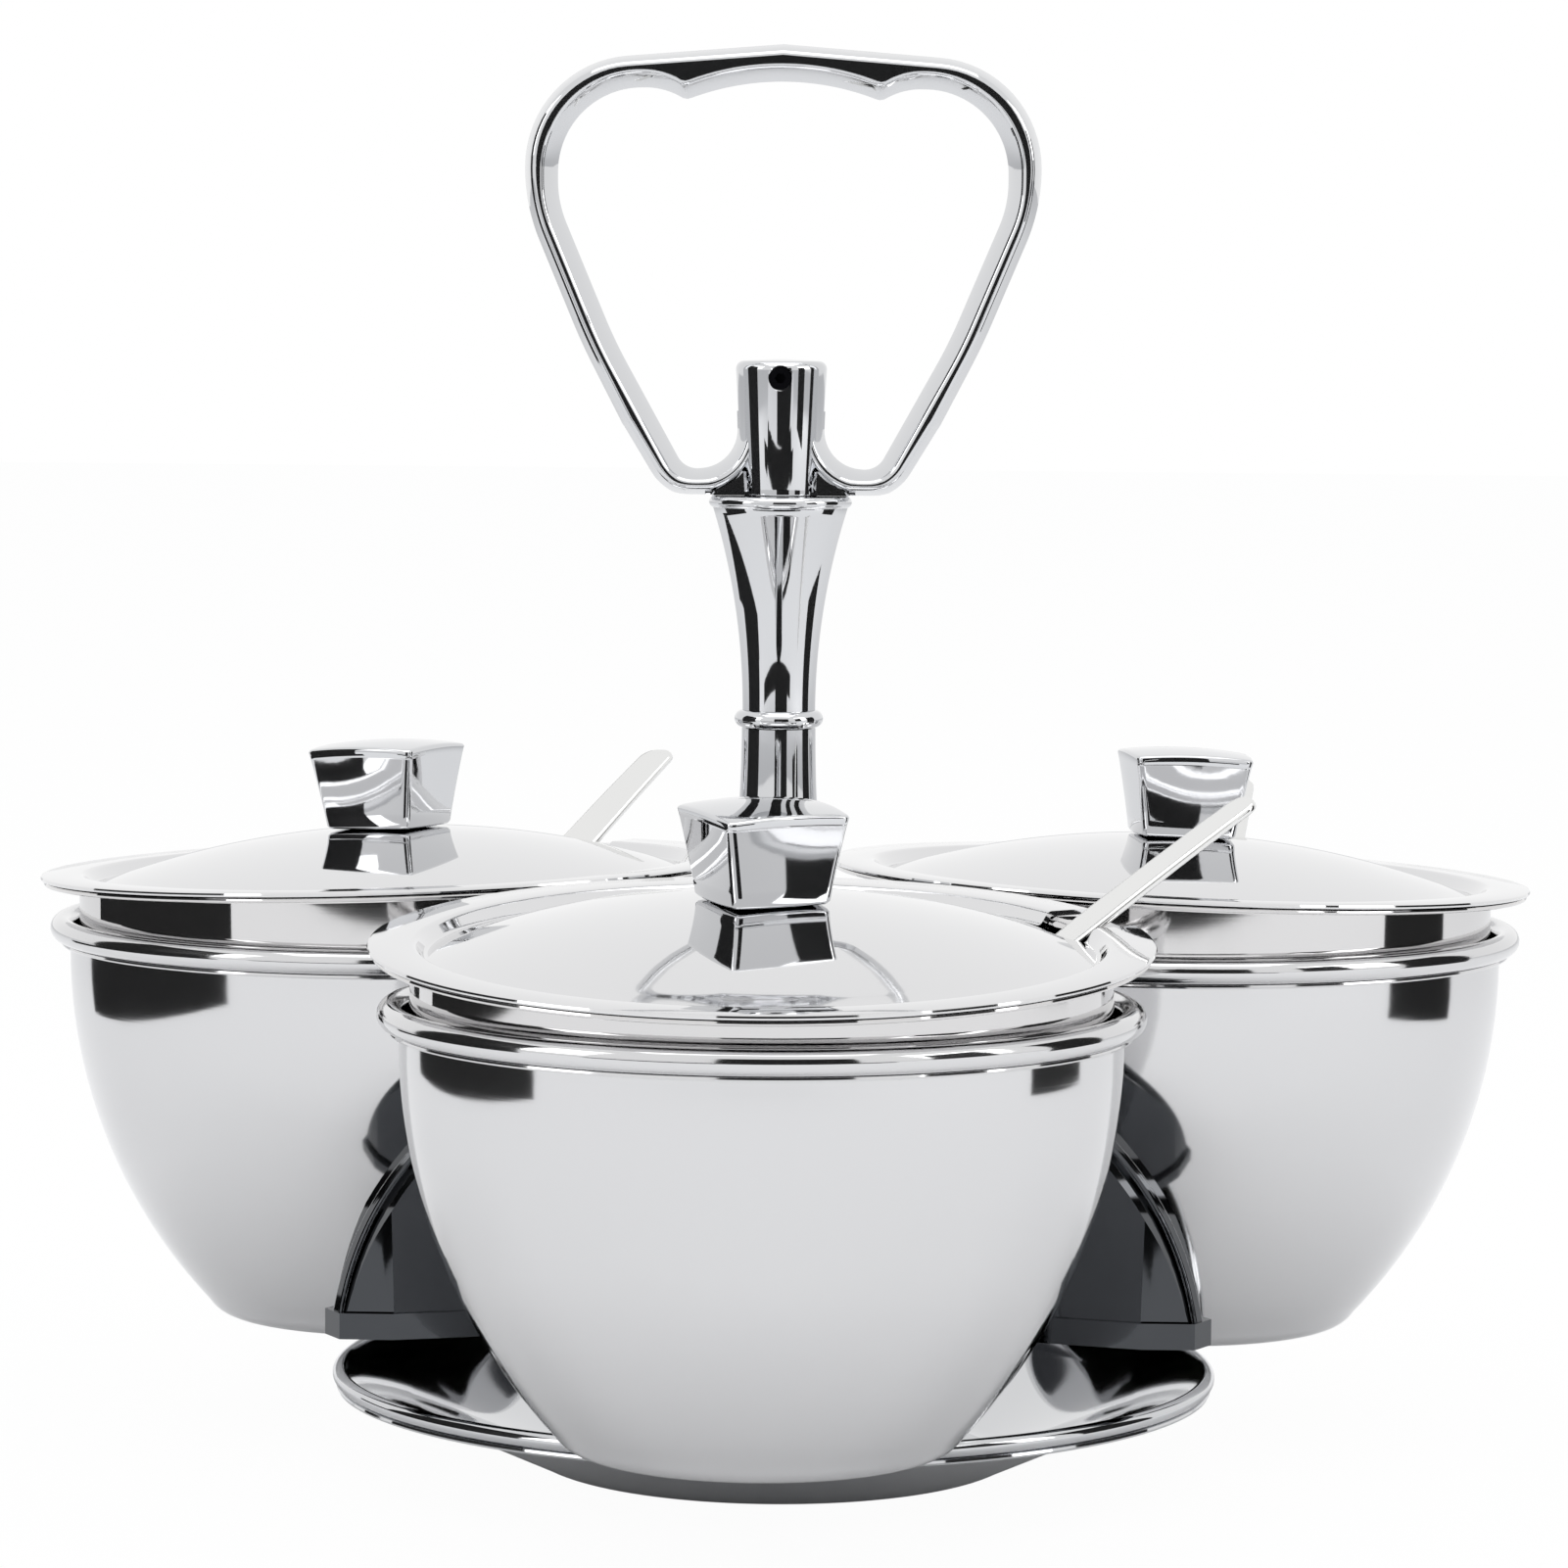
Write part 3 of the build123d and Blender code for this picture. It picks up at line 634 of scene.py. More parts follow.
@dataclass(frozen=True)
class CupSet:
    """The three outer cups, their bowls and lids.

    Lengths are in millimetres. Bowl heights are above the cup's rim plane and lid heights above
    the lid's flat edge.
    """

    circle: float = 86
    opening: float = 60
    sheet: float = 0.9
    rim: float = 93
    curl: float = 2.25
    curl_turn: float = 285
    floor: float = 20.3
    foot: Point = (34.1, 22.8)
    corner: float = 5
    belly: Point = (50.2, 46.5)
    wall_top: Point = (59.86, 88)
    gap: float = 0.3
    drop: float = 70.8
    bowl_floor: float = 24
    bowl_foot: Point = (29, -64.7)
    bowl_corner: float = 6
    bowl_belly: Point = (44.3, -44)
    neck: Point = (58.3, -4)
    neck_top: float = 57.8
    flange: Point = (65.4, 11.5)
    flange_corner: float = 1.6
    seat: float = 0.1
    dome_rise: float = 7
    dome_edge: float = 50
    groove: Point = (56.4, -2.5)
    groove_wall: float = 1.6
    groove_corners: tuple[float, float] = (0.9, 1.3)
    lid_edge: float = 66

    def bowl_frame(self, place: Place) -> Matrix:
        """The leaning frame of a bowl, at its cup's rim plane.

        Args:
            place: The bowl's place.

        Returns:
            The frame, with x pointing outwards.
        """
        lean = math.radians(place.lean)
        height = self.floor + self.gap + self.drop * math.cos(lean)
        height += self.bowl_floor * math.sin(lean)
        stand = upright_frame(place.azimuth, self.circle) @ Matrix.Translation((0, 0, height * MM))
        return stand @ Matrix.Rotation(lean, 4, "Y")

    def cup_outline(self) -> list[Point]:
        """Section of a cup: one sweep of wall and a rim curled outwards in a hollow roll.

        Returns:
            The outline, from the axis out along the inside and back along the outside.
        """
        start = [(0, self.floor), (self.foot[0] - self.corner / 3, self.floor), self.foot]
        line = rounded(start, self.corner)
        line += three_point_arc(self.foot, self.belly, self.wall_top, 32)[1:]
        line += [(self.opening, self.rim)]
        centre = (self.opening + self.curl, self.rim)
        line += circle_arc(centre, self.curl, math.pi, -math.radians(self.curl_turn), 32)[1:]
        return sheet_section(line, self.sheet)

    def bowl_outline(self) -> list[Point]:
        """Section of a bowl: a round belly, a neck that narrows a little and a flat flange.

        Returns:
            The outline, from the axis out along the inside and back along the outside.
        """
        floor = self.sheet - self.drop
        line = rounded([(0, floor), (self.bowl_floor, floor), self.bowl_foot], self.bowl_corner)
        line += three_point_arc(self.bowl_foot, self.bowl_belly, self.neck, 28)[1:]
        top = [self.neck, (self.neck_top, self.flange[1]), self.flange]
        line += rounded(top, self.flange_corner)[1:]
        return sheet_section(line, self.sheet)

    def lid_outline(self) -> list[Point]:
        """Section of a lid: a low dome, a groove that drops into the bowl, and a flat land.

        Returns:
            The outline, from the axis out along the top and back along the underside.
        """
        drop = self.dome_rise - self.groove[1]
        radius = (self.groove[0] ** 2 + drop**2) / (2 * drop)
        dome = [
            (r, self.dome_rise - radius + math.sqrt(radius**2 - r**2))
            for r in (self.dome_edge * i / 24 for i in range(25))
        ]
        rest = [dome[-1], self.groove, (self.groove[0] + self.groove_wall, 0), (self.lid_edge, 0)]
        return sheet_section(dome + rounded(rest, list(self.groove_corners))[1:], self.sheet)

    def build(self, cup: bpy.types.Material, bowl: bpy.types.Material) -> None:
        """Builds the cups and bowls.

        Args:
            cup: Finish of the cups.
            bowl: Finish of the bowls.
        """
        for place in PLACES:
            frame = upright_frame(place.azimuth, self.circle)
            piece = lathe(f"outer_cup_{place.name}", self.cup_outline(), frame, cup)
            settle(piece, "carrier", "satin_cup", f"cup_{place.name}")
            frame = self.bowl_frame(place)
            piece = lathe(f"inner_bowl_{place.name}", self.bowl_outline(), frame, bowl)
            settle(piece, f"bowl_{place.name}", "bright_bowl", f"bowl_{place.name}")


def cut(piece: bpy.types.Object, cutter: bpy.types.Object) -> None:
    """Takes a cutter's room out of a piece and throws the cutter away.

    Args:
        piece: The object to cut, which gets a new mesh.
        cutter: A closed object.
    """
    change = piece.modifiers.new("cut", "BOOLEAN")
    change.object = cutter
    change.solver = "EXACT"
    bpy.context.view_layer.update()
    seen = piece.evaluated_get(bpy.context.evaluated_depsgraph_get())
    mesh = bpy.data.meshes.new_from_object(seen)
    piece.modifiers.clear()
    piece.data = mesh
    mesh.shade_smooth()
    mesh.set_sharp_from_angle(angle=math.radians(CRISP_DEGREES))
    bpy.data.objects.remove(cutter)


@dataclass(frozen=True)
class Lids:
    """The lids: each a buffed sheet with a spoon notch, and a cast square knob.

    Lengths are in millimetres. The knob's shares are of its height and of its width.
    """

    cups: CupSet = CupSet()
    notch_width: float = 18
    notch_foot: float = 50
    notch_corner: float = 3
    notch_reach: float = 20
    knob_foot: float = 17.8
    knob_top: float = 22.5
    knob_height: float = 14.9
    pillow: float = 1.5
    corner: float = 1.5
    swell: float = 0.55
    edge: float = 0.5
    foot_bevel: float = 0.96
    flare: float = 1.15
    corner_steps: int = 6
    side_steps: int = 12
    side_shares: tuple[float, ...] = (0.035, 0.2, 0.4, 0.6, 0.75, 0.88)
    edge_steps: tuple[Point, ...] = ((0.004, 0.9), (0.012, 0.35), (0.035, 0.06))
    top_shares: tuple[float, ...] = (0.92, 0.82, 0.68, 0.52, 0.34, 0.16, 0.04)

    def frame(self, place: Place) -> Matrix:
        """The leaning frame of a lid, at its flat edge."""
        rise = self.cups.flange[1] + self.cups.seat + self.cups.sheet
        return self.cups.bowl_frame(place) @ Matrix.Translation((0, 0, rise * MM))

    def notch(self, place: Place, material: bpy.types.Material) -> bpy.types.Object:
        """The block that cuts a lid's notch, open to the outside with round inner corners.

        Args:
            place: The lid's place.
            material: A finish for the cut faces.

        Returns:
            The block.
        """
        half, far = self.notch_width / 2, self.cups.lid_edge * 2
        line = rounded(
            [(far, -half), (self.notch_foot, -half), (self.notch_foot, half), (far, half)],
            self.notch_corner,
        )
        count = len(line)
        levels = (-self.notch_reach, self.notch_reach)
        verts = [(x * MM, y * MM, z * MM) for z in levels for x, y in line]
        faces: list[tuple[int, ...]] = [tuple(range(count)), tuple(range(count, 2 * count))]
        faces += [(i, (i + 1) % count, (i + 1) % count + count, i + count) for i in range(count)]
        turn = Matrix.Rotation(math.radians(place.notch - place.azimuth), 4, "Z")
        return finished("notch_block", verts, faces, self.frame(place) @ turn, material, 30)

    def square(self, side: float, corner: float, height: float) -> list[Spot]:
        """A ring of a rounded square with sides that swell a little between its corners.

        Args:
            side: The square's side.
            corner: Radius of its corners.
            height: The ring's height.

        Returns:
            The ring's points.
        """
        half, ring = side / 2, []
        flat = half - corner
        for quarter in range(4):
            turn = math.pi / 2 * quarter
            arc = circle_arc((flat, flat), corner, 0, math.pi / 2, self.corner_steps)
            steps = [flat - 2 * flat * i / self.side_steps for i in range(1, self.side_steps)]
            arc += [(x, half + self.swell * (1 - (x / flat) ** 2)) for x in steps]
            for x, y in arc:
                spot = Matrix.Rotation(turn, 2) @ Vector((x, y))
                ring.append((spot.x, spot.y, height))
        return ring

    def top_height(self, x: float, y: float) -> float:
        """Height of a knob's pillowed top over a point.

        Args:
            x: The point's distance from the knob's axis one way.
            y: Its distance the other way.

        Returns:
            The height above the knob's foot.
        """
        reach = self.knob_top / math.sqrt(2)
        ball = (reach**2 + self.pillow**2) / (2 * self.pillow)
        return self.knob_height + self.pillow - ball + math.sqrt(ball**2 - x * x - y * y)

    def knob(self, place: Place, material: bpy.types.Material) -> bpy.types.Object:
        """A knob: a square that widens upwards, with softened edges and a pillowed top.

        Args:
            place: The knob's place.
            material: Its finish.

        Returns:
            The knob.
        """
        foot = self.square(self.knob_foot, self.corner, 0)
        brow = self.square(self.knob_top, self.corner, 0)
        rims = [self.top_height(x, y) for x, y, _ in brow]
        rings = [[(x * self.foot_bevel, y * self.foot_bevel, 0.0) for x, y, _ in foot]]
        for share in self.side_shares:
            spread = share**self.flare
            rings.append(
                [
                    (a[0] + (b[0] - a[0]) * spread, a[1] + (b[1] - a[1]) * spread, rim * share)
                    for a, b, rim in zip(foot, brow, rims)
                ]
            )
        for inward, below in self.edge_steps:
            spots = [(x * (1 - inward), y * (1 - inward)) for x, y, _ in brow]
            rings.append([(x, y, self.top_height(x, y) - below * self.edge) for x, y in spots])
        for share in self.top_shares:
            spots = [(x * share, y * share) for x, y, _ in brow]
            rings.append([(x, y, self.top_height(x, y)) for x, y in spots])
        rise = self.cups.dome_rise + self.cups.seat
        turn = Matrix.Rotation(math.radians(place.knob - place.azimuth), 4, "Z")
        stand = self.frame(place) @ Matrix.Translation((0, 0, rise * MM)) @ turn
        return loft(f"square_knob_{place.name}", rings, stand, material)

    def build(self, lid: bpy.types.Material, plate: bpy.types.Material) -> None:
        """Builds the lids and knobs.

        Args:
            lid: Finish of the lids.
            plate: Finish of the knobs.
        """
        outline = self.cups.lid_outline()
        for place in PLACES:
            body, frame = f"lid_{place.name}", self.frame(place)
            piece = lathe(f"domed_lid_{place.name}", outline, frame, lid, WIDE_STEPS)
            cut(piece, self.notch(place, lid))
            settle(piece, body, "satin_lid", f"lid_{place.name}")
            piece = self.knob(place, plate)
            settle(piece, body, "plated_casting", f"knob_{place.name}")


@dataclass(frozen=True)
class Spoons:
    """The stamped spoons, one on each bowl's lip.

    Lengths are in millimetres. A spoon's x runs up its handle from the lip.
    """

    cups: CupSet = CupSet()
    length: float = 140
    sheet: float = 1.3
    edge: float = 0.35
    rest: float = 0.3
    neck_width: float = 5
    lip_width: float = 9.2
    tip_width: float = 7.8
    tip_corner: float = 2.8
    bow: float = 1.6
    scoop_length: float = 38
    scoop_width: float = 24
    scoop_radius: float = 36
    scoop_lift: float = 4
    scoop_floor: float = 0.5
    scoop_steps: int = 40
    scoop_stations: int = 34
    strap_steps: int = 24
    tip_steps: int = 6
    width_steps: int = 5

    def frame(self, place: Place) -> Matrix:
        """The frame in the middle of a spoon's sheet, square over the lip it rests on.

        Args:
            place: The spoon's place.

        Returns:
            The frame, with x running up the handle.
        """
        corner = self.cups.flange_corner
        turn = Matrix.Rotation(math.radians(place.spoon - place.azimuth), 4, "Z")
        bend = Vector((self.cups.neck[0] + corner, 0, self.cups.flange[1] - corner)) * MM
        rise = Matrix.Rotation(-math.radians(place.slope), 4, "Y")
        above = Vector((0, 0, corner + self.rest + self.sheet / 2)) * MM
        return (
            self.cups.bowl_frame(place)
            @ turn
            @ Matrix.Translation(bend)
            @ rise
            @ Matrix.Translation(above)
        )

    def ring(self, place: Place, x: float) -> list[Spot]:
        """The section of a spoon at a distance up its handle.

        Args:
            place: The spoon's place.
            x: The distance from the lip, negative inside the bowl.

        Returns:
            The section's points.
        """
        neck = place.outside - self.length + self.scoop_length
        root = neck - self.scoop_length / 5
        middle = (root + place.outside) / 2
        reach = place.outside - middle
        dip = self.bow * (1 - (middle / reach) ** 2)
        strap = self.neck_width + (self.lip_width - self.neck_width) * (1 - x / neck)
        if x > 0:
            strap = self.lip_width + (self.tip_width - self.lip_width) * x / place.outside
        into_tip = max(0.0, x - place.outside + self.tip_corner)
        strap -= 2 * (self.tip_corner - math.sqrt(self.tip_corner**2 - into_tip**2))
        centre = neck - self.scoop_length / 2
        across = 1 - min(1.0, abs(x - centre) / (self.scoop_length / 2)) ** 2
        scoop = self.scoop_width * math.sqrt(across)
        shoulder = max(0.0, min(1.0, (x - centre) / (neck - centre)))
        half = ((strap * shoulder) ** 3 + scoop**3) ** (1 / 3) / 2
        half = max(half, 2 * self.edge)
        level = self.bow * (1 - ((x - middle) / reach) ** 2) - dip
        if x < root:
            level = -dip - self.scoop_floor * min(1.0, (root - x) / (root - centre))
        lift = self.scoop_lift * max(0.0, (centre - x) / (self.scoop_length / 2)) ** 2
        dish = 0.0 if x > neck else 1 / (2 * self.scoop_radius)

        def point(y: float, height: float) -> Spot:
            """A point at a distance from the middle line and above the sheet's middle."""
            return x, y, level + lift + dish * y * y + height

        flat, sheet = half - self.edge, self.sheet / 2
        count = self.width_steps
        spread = [flat * i / count for i in range(-count, count + 1)]
        ring = [point(y, sheet) for y in spread]
        ring += [point(half, sheet - self.edge), point(half, self.edge - sheet)]
        ring += [point(y, -sheet) for y in reversed(spread)]
        return ring + [point(-half, self.edge - sheet), point(-half, sheet - self.edge)]

    def build(self, steel: bpy.types.Material) -> None:
        """Builds the spoons.

        Args:
            steel: Their finish.
        """
        for place in PLACES:
            neck = place.outside - self.length + self.scoop_length
            half, centre = self.scoop_length / 2, neck - self.scoop_length / 2
            turns = [math.pi * i / self.scoop_steps for i in range(1, self.scoop_stations + 1)]
            stations = [centre - half * math.cos(turn) for turn in turns]
            last, steps = place.outside - self.tip_corner, self.strap_steps
            stations += [neck + (last - neck) * i / steps for i in range(steps + 1)]
            turns = [math.pi / 2 * i / self.tip_steps for i in range(1, self.tip_steps + 1)]
            stations += [last + self.tip_corner * math.sin(turn) for turn in turns]
            rings = [self.ring(place, x) for x in stations]
            piece = loft(f"stamped_spoon_{place.name}", rings, self.frame(place), steel)
            settle(piece, f"spoon_{place.name}", "bright_spoon", f"spoon_{place.name}")


@dataclass(frozen=True)
class Base:
    """The spun dish that the server stands on, with a raised centre and a rolled rim."""

    sheet: float = 1.1
    hole: float = 3.15
    centre: Point = (14, 14)
    centre_foot: float = 24
    centre_corner: float = 2.5
    floor: float = 40
    wall: Point = (44, 2.2)
    slope: Point = (66, 12.4)
    flare: Point = (72.6, 15.6)
    rim: float = 80.7
    rim_height: float = 16.6
    bead: float = 1.5
    bead_turn: float = 190

    def outline(self) -> list[Point]:
        """Section of the dish.

        Returns:
            The outline, from the hole in its centre to the rolled rim and back.
        """
        foot, floor = (self.centre_foot, self.sheet), (self.floor, self.sheet)
        line = rounded([(self.hole, self.centre[1]), self.centre, foot, floor], self.centre_corner)
        line += tangent_arc((self.floor, self.sheet), self.wall)[1:]
        bead = (self.rim - self.bead, self.rim_height)
        line += three_point_arc(self.slope, self.flare, (bead[0], bead[1] + self.bead), 24)
        line += circle_arc(bead, self.bead, math.pi / 2, -math.radians(self.bead_turn), 20)[1:]
        return sheet_section(line, self.sheet)

    def build(self, dish: bpy.types.Material) -> None:
        """Builds the dish in its finish."""
        piece = lathe("base_spun_dish", self.outline(), Matrix.Identity(4), dish, WIDE_STEPS)
        settle(piece, "base", "plated_dish", "base_dish")


@dataclass(frozen=True)
class Column:
    """The stem and the trumpet above it, with a collar between and a flange on top."""

    bore: float = 3.15
    foot: Point = (9.2, 98.1)
    waist: Point = (7.3, 117)
    stem_top: Point = (6.7, 134.6)
    collar: float = 8.05
    collar_height: float = 3.2
    root: float = 6.6
    middle: Point = (8.1, 157)
    mouth: float = 12.2
    flange: float = 12.95
    flange_height: float = 2.2
    top: float = 176.8
    gap: float = 0.1

    def stem_outline(self) -> list[Point]:
        """Section of the stem."""
        side = three_point_arc(self.foot, self.waist, self.stem_top, 20)
        return [(self.bore, self.foot[1]), *side, (self.bore, self.stem_top[1])]

    def trumpet_outline(self) -> list[Point]:
        """Section of the trumpet.

        Returns:
            The outline, from its collar up to the flange.
        """
        low = self.stem_top[1] + self.gap
        half, lip = self.collar_height / 2, self.flange_height / 2
        collar = circle_arc((self.collar - half, low + half), half, -math.pi / 2, math.pi, 12)
        mouth = (self.mouth, self.top - self.flange_height)
        flare = three_point_arc((self.root, low + self.collar_height), self.middle, mouth, 28)
        edge = (self.flange - lip, self.top - lip)
        flange = circle_arc(edge, lip, -math.pi / 2, math.pi, 10)
        return [(self.bore, low), *collar, *flare, *flange[1:], (self.bore, self.top)]

    def build(self, plate: bpy.types.Material) -> None:
        """Builds both pieces.

        Args:
            plate: Their finish.
        """
        here = Matrix.Identity(4)
        piece = lathe("stem", self.stem_outline(), here, plate, NARROW_STEPS)
        settle(piece, "carrier", "plated_casting", "column_stem")
        piece = lathe("trumpet", self.trumpet_outline(), here, plate, NARROW_STEPS)
        settle(piece, "carrier", "plated_casting", "column_trumpet")


@dataclass(frozen=True)
class Handle:
    """The cast loop: a crowned rim with finger scallops, a hub that it grows out of, and webs.

    Lengths are in millimetres, from the spin axis and above the table.
    """

    half_depth: float = 4.75
    foot: float = 176.9
    outline: tuple[Point, ...] = (
        (0, 258), (46.6, 254.3), (46.6, 228.9), (36.2, 204), (22.2, 176.9), (0, 176.9)
    )
    outline_radii: tuple[float, ...] = (20, 34, 110, 9)
    cusp: Point = (17.6, 247.9)
    cusp_radius: float = 1.7
    scallop_top: float = 251.3
    side_middle: Point = (21.2, 249.6)
    side_top: Point = (25.5, 250.1)
    window: tuple[Point, ...] = (
        (40.65, 234.9), (40.65, 229.4), (30.2, 204.5), (17.4, 181.4), (7.6, 182.2), (8.35, 201.5)
    )
    window_radii: tuple[float, ...] = (20, 90, 4, 7)
    split: float = 192
    rim_width: float = 5.9
    rim_end_width: float = 4.2
    land: float = 0.3
    outer_slope: float = 1.25
    inner_slope: float = 2.3
    crown: float = 1.0
    crown_degrees: float = 52
    crown_steps: int = 8
    ease: float = 0.96
    pitch: float = 0.8
    hub_foot: float = 6.9
    hub_top: Point = (8.35, 201.5)
    hub_corners: tuple[float, float] = (0.3, 1.5)
    hub_fall: float = 0.4
    screw_height: float = 198.1
    screw_hole: float = 2.1
    screw_seat: float = 3.1
    screw_bevel: Point = (0.6, 0.5)
    screw_clear: float = 12
    web: tuple[Point, ...] = (
        (4.5, 177), (13.6, 177), (13.6, 180), (10.6, 180.6), (7.5, 183.5), (6, 189), (4.5, 189)
    )
    web_depth: float = 2.6
    rail: tuple[Point, ...] = ((4.5, 176.9), (12.4, 176.9), (12, 177.6), (4.5, 177.6))
    rail_depth: float = 4.3
    bevel: float = 0.3

    def inner_line(self) -> list[Point]:
        """The right half of the window's edge.

        Returns:
            Its points, from the top round to the hub.
        """
        mirrored = (-self.cusp[0], self.cusp[1])
        middle = three_point_arc(mirrored, (0, self.scallop_top), self.cusp, 24)[12:]
        side = three_point_arc(self.cusp, self.side_middle, self.side_top, 6)
        tip = rounded([middle[-2], self.cusp, side[1]], self.cusp_radius, 8)[1:-1]
        shoulder = tangent_arc(self.side_top, self.window[0], 24)
        rest = rounded(list(self.window), list(self.window_radii), 12)
        return resampled(middle[:-1] + tip + side[1:] + shoulder[1:] + rest[1:], self.pitch)

    def stations(self) -> list[tuple[Vector, Vector]]:
        """Stations along the right half of the rim.

        Returns:
            Pairs of points across the rim, outer edge first.
        """
        outer = resampled(rounded(list(self.outline), list(self.outline_radii), 16), self.pitch)
        inner = self.inner_line()
        pairs = []
        for i, (spot, out) in enumerate(zip(outer, sides(outer))):
            way = Vector((0, -1)) if i == 0 else -out
            edge = Vector(spot) + way * reach_to(inner, Vector(spot), way)
            if edge.y < self.split:
                break
            pairs.append((Vector(spot), edge))
        lowest = pairs[-1][1].y
        ways = zip(inner, sides(inner))
        low = [(Vector(spot), out) for spot, out in ways if spot[1] < lowest]
        for i, (edge, out) in enumerate(low):
            width = self.rim_width + (self.rim_end_width - self.rim_width) * i / len(low)
            reach = min(width, reach_to(outer, edge, out))
            pairs.append((edge + out * reach, edge))
        return pairs

    def flank(self, slope: float) -> list[Point]:
        """Half a section from one edge: a land, a slope and the rounding to the face.

        Args:
            slope: How far in the slope reaches.

        Returns:
            Pairs of reach from the edge and half depth.
        """
        turn = math.radians(self.crown_degrees)
        radius = self.crown / math.sin(turn)
        brow = self.half_depth - radius * (1 - math.cos(turn))
        ease = self.ease
        line = [(0, self.land), (slope * ease, self.land + (brow - self.land) * ease)]
        for i in range(self.crown_steps + 1):
            angle = turn * (1 - i / self.crown_steps)
            line.append(
                (
                    slope + self.crown - radius * math.sin(angle),
                    self.half_depth - radius * (1 - math.cos(angle)),
                )
            )
        return line

    def ring(self, outer: Vector, inner: Vector) -> list[Spot]:
        """One section of the rim.

        Args:
            outer: A point of its outer edge.
            inner: The point across from it.

        Returns:
            The section's points.
        """
        across = inner - outer
        bands = self.outer_slope + self.inner_slope + 2 * self.crown
        scale = min(1.0, across.length / bands)
        way = across.normalized()
        front = []
        for reach, depth in self.flank(self.outer_slope):
            spot = outer + way * reach * scale
            front.append((spot.x, -depth, spot.y))
        for reach, depth in reversed(self.flank(self.inner_slope)):
            spot = inner - way * reach * scale
            front.append((spot.x, -depth, spot.y))
        return front + [(x, -y, z) for x, y, z in reversed(front)]

    def slab(self, outline: tuple[Point, ...], side: int, depth: float) -> list[list[Spot]]:
        """The rings of a bevelled plate across the loop's depth.

        Args:
            outline: Its outline to the right of the axis.
            side: 1 for the right and -1 for the left.
            depth: Half its thickness.

        Returns:
            The rings, front to back.
        """
        middle = sum((Vector(p) for p in outline), Vector((0, 0))) / len(outline)
        bevel, rings = self.bevel, []
        for y, inset in ((-depth, bevel), (bevel - depth, 0), (depth - bevel, 0), (depth, bevel)):
            spots = [Vector(p) + (middle - Vector(p)).normalized() * inset for p in outline]
            rings.append([(side * spot.x, y, spot.y) for spot in spots])
        return rings

    def hub(self, plate: bpy.types.Material) -> bpy.types.Object:
        """The hub, with the hole of its set screw.

        Args:
            plate: Its finish.

        Returns:
            The hub.
        """
        here = Matrix.Identity(4)
        side, top = self.hub_top
        line = rounded(
            [(0, self.foot), (self.hub_foot, self.foot), (side, top - self.hub_fall), (0, top)],
            list(self.hub_corners),
            8,
        )
        piece = lathe("handle_hub", line, here, plate, NARROW_STEPS)
        hole, (wider, deep) = self.screw_hole, self.screw_bevel
        shaft = [(0, self.screw_seat), (hole, self.screw_seat), (hole, side - deep)]
        shaft += [(hole + wider, side + 0.1), (hole + wider, self.screw_clear)]
        shaft += [(0, self.screw_clear)]
        stand = Matrix.Translation((0, 0, self.screw_height * MM))
        stand = stand @ Matrix.Rotation(math.pi / 2, 4, "X")
        cut(piece, lathe("screw_room", shaft, stand, plate, NARROW_STEPS // 2))
        return piece

    def build(self, plate: bpy.types.Material) -> None:
        """Builds the handle.

        Args:
            plate: Its finish.
        """
        here = Matrix.Identity(4)
        right = self.stations()
        left = [(Vector((-a.x, a.y)), Vector((-b.x, b.y))) for a, b in right[:0:-1]]
        rings = [self.ring(outer, inner) for outer, inner in left + right]
        pieces = [loft("handle_rim", rings, here, plate), self.hub(plate)]
        for side, word in ((1, "right"), (-1, "left")):
            for kind, outline, depth in (
                ("web", self.web, self.web_depth),
                ("rail", self.rail, self.rail_depth),
            ):
                rings = self.slab(outline, side, depth)
                pieces.append(loft(f"handle_{kind}_{word}", rings, here, plate, 30))
        for piece in pieces:
            settle(piece, "carrier", "plated_casting", "handle")


@dataclass
class Dresser:
    """Gives each model node the finish of its slot in the record."""

    frame: dict

    def dress(self) -> dict[str, bpy.types.Material]:
        """Builds each finish once and puts it on the nodes of its slot.

        Returns:
            The materials by slot.
        """
        built = {slot: finish.build() for slot, finish in FINISH_OF_SLOT.items()}
        for row in self.frame["record"]["subparts"]:
            slot, node = row["material_slot"], self.frame["nodes"][row["node"]]
            node.data.materials.clear()
            node.data.materials.append(built[slot])
            LOG.info("%s in %s", row["node"], built[slot].name)
        return built


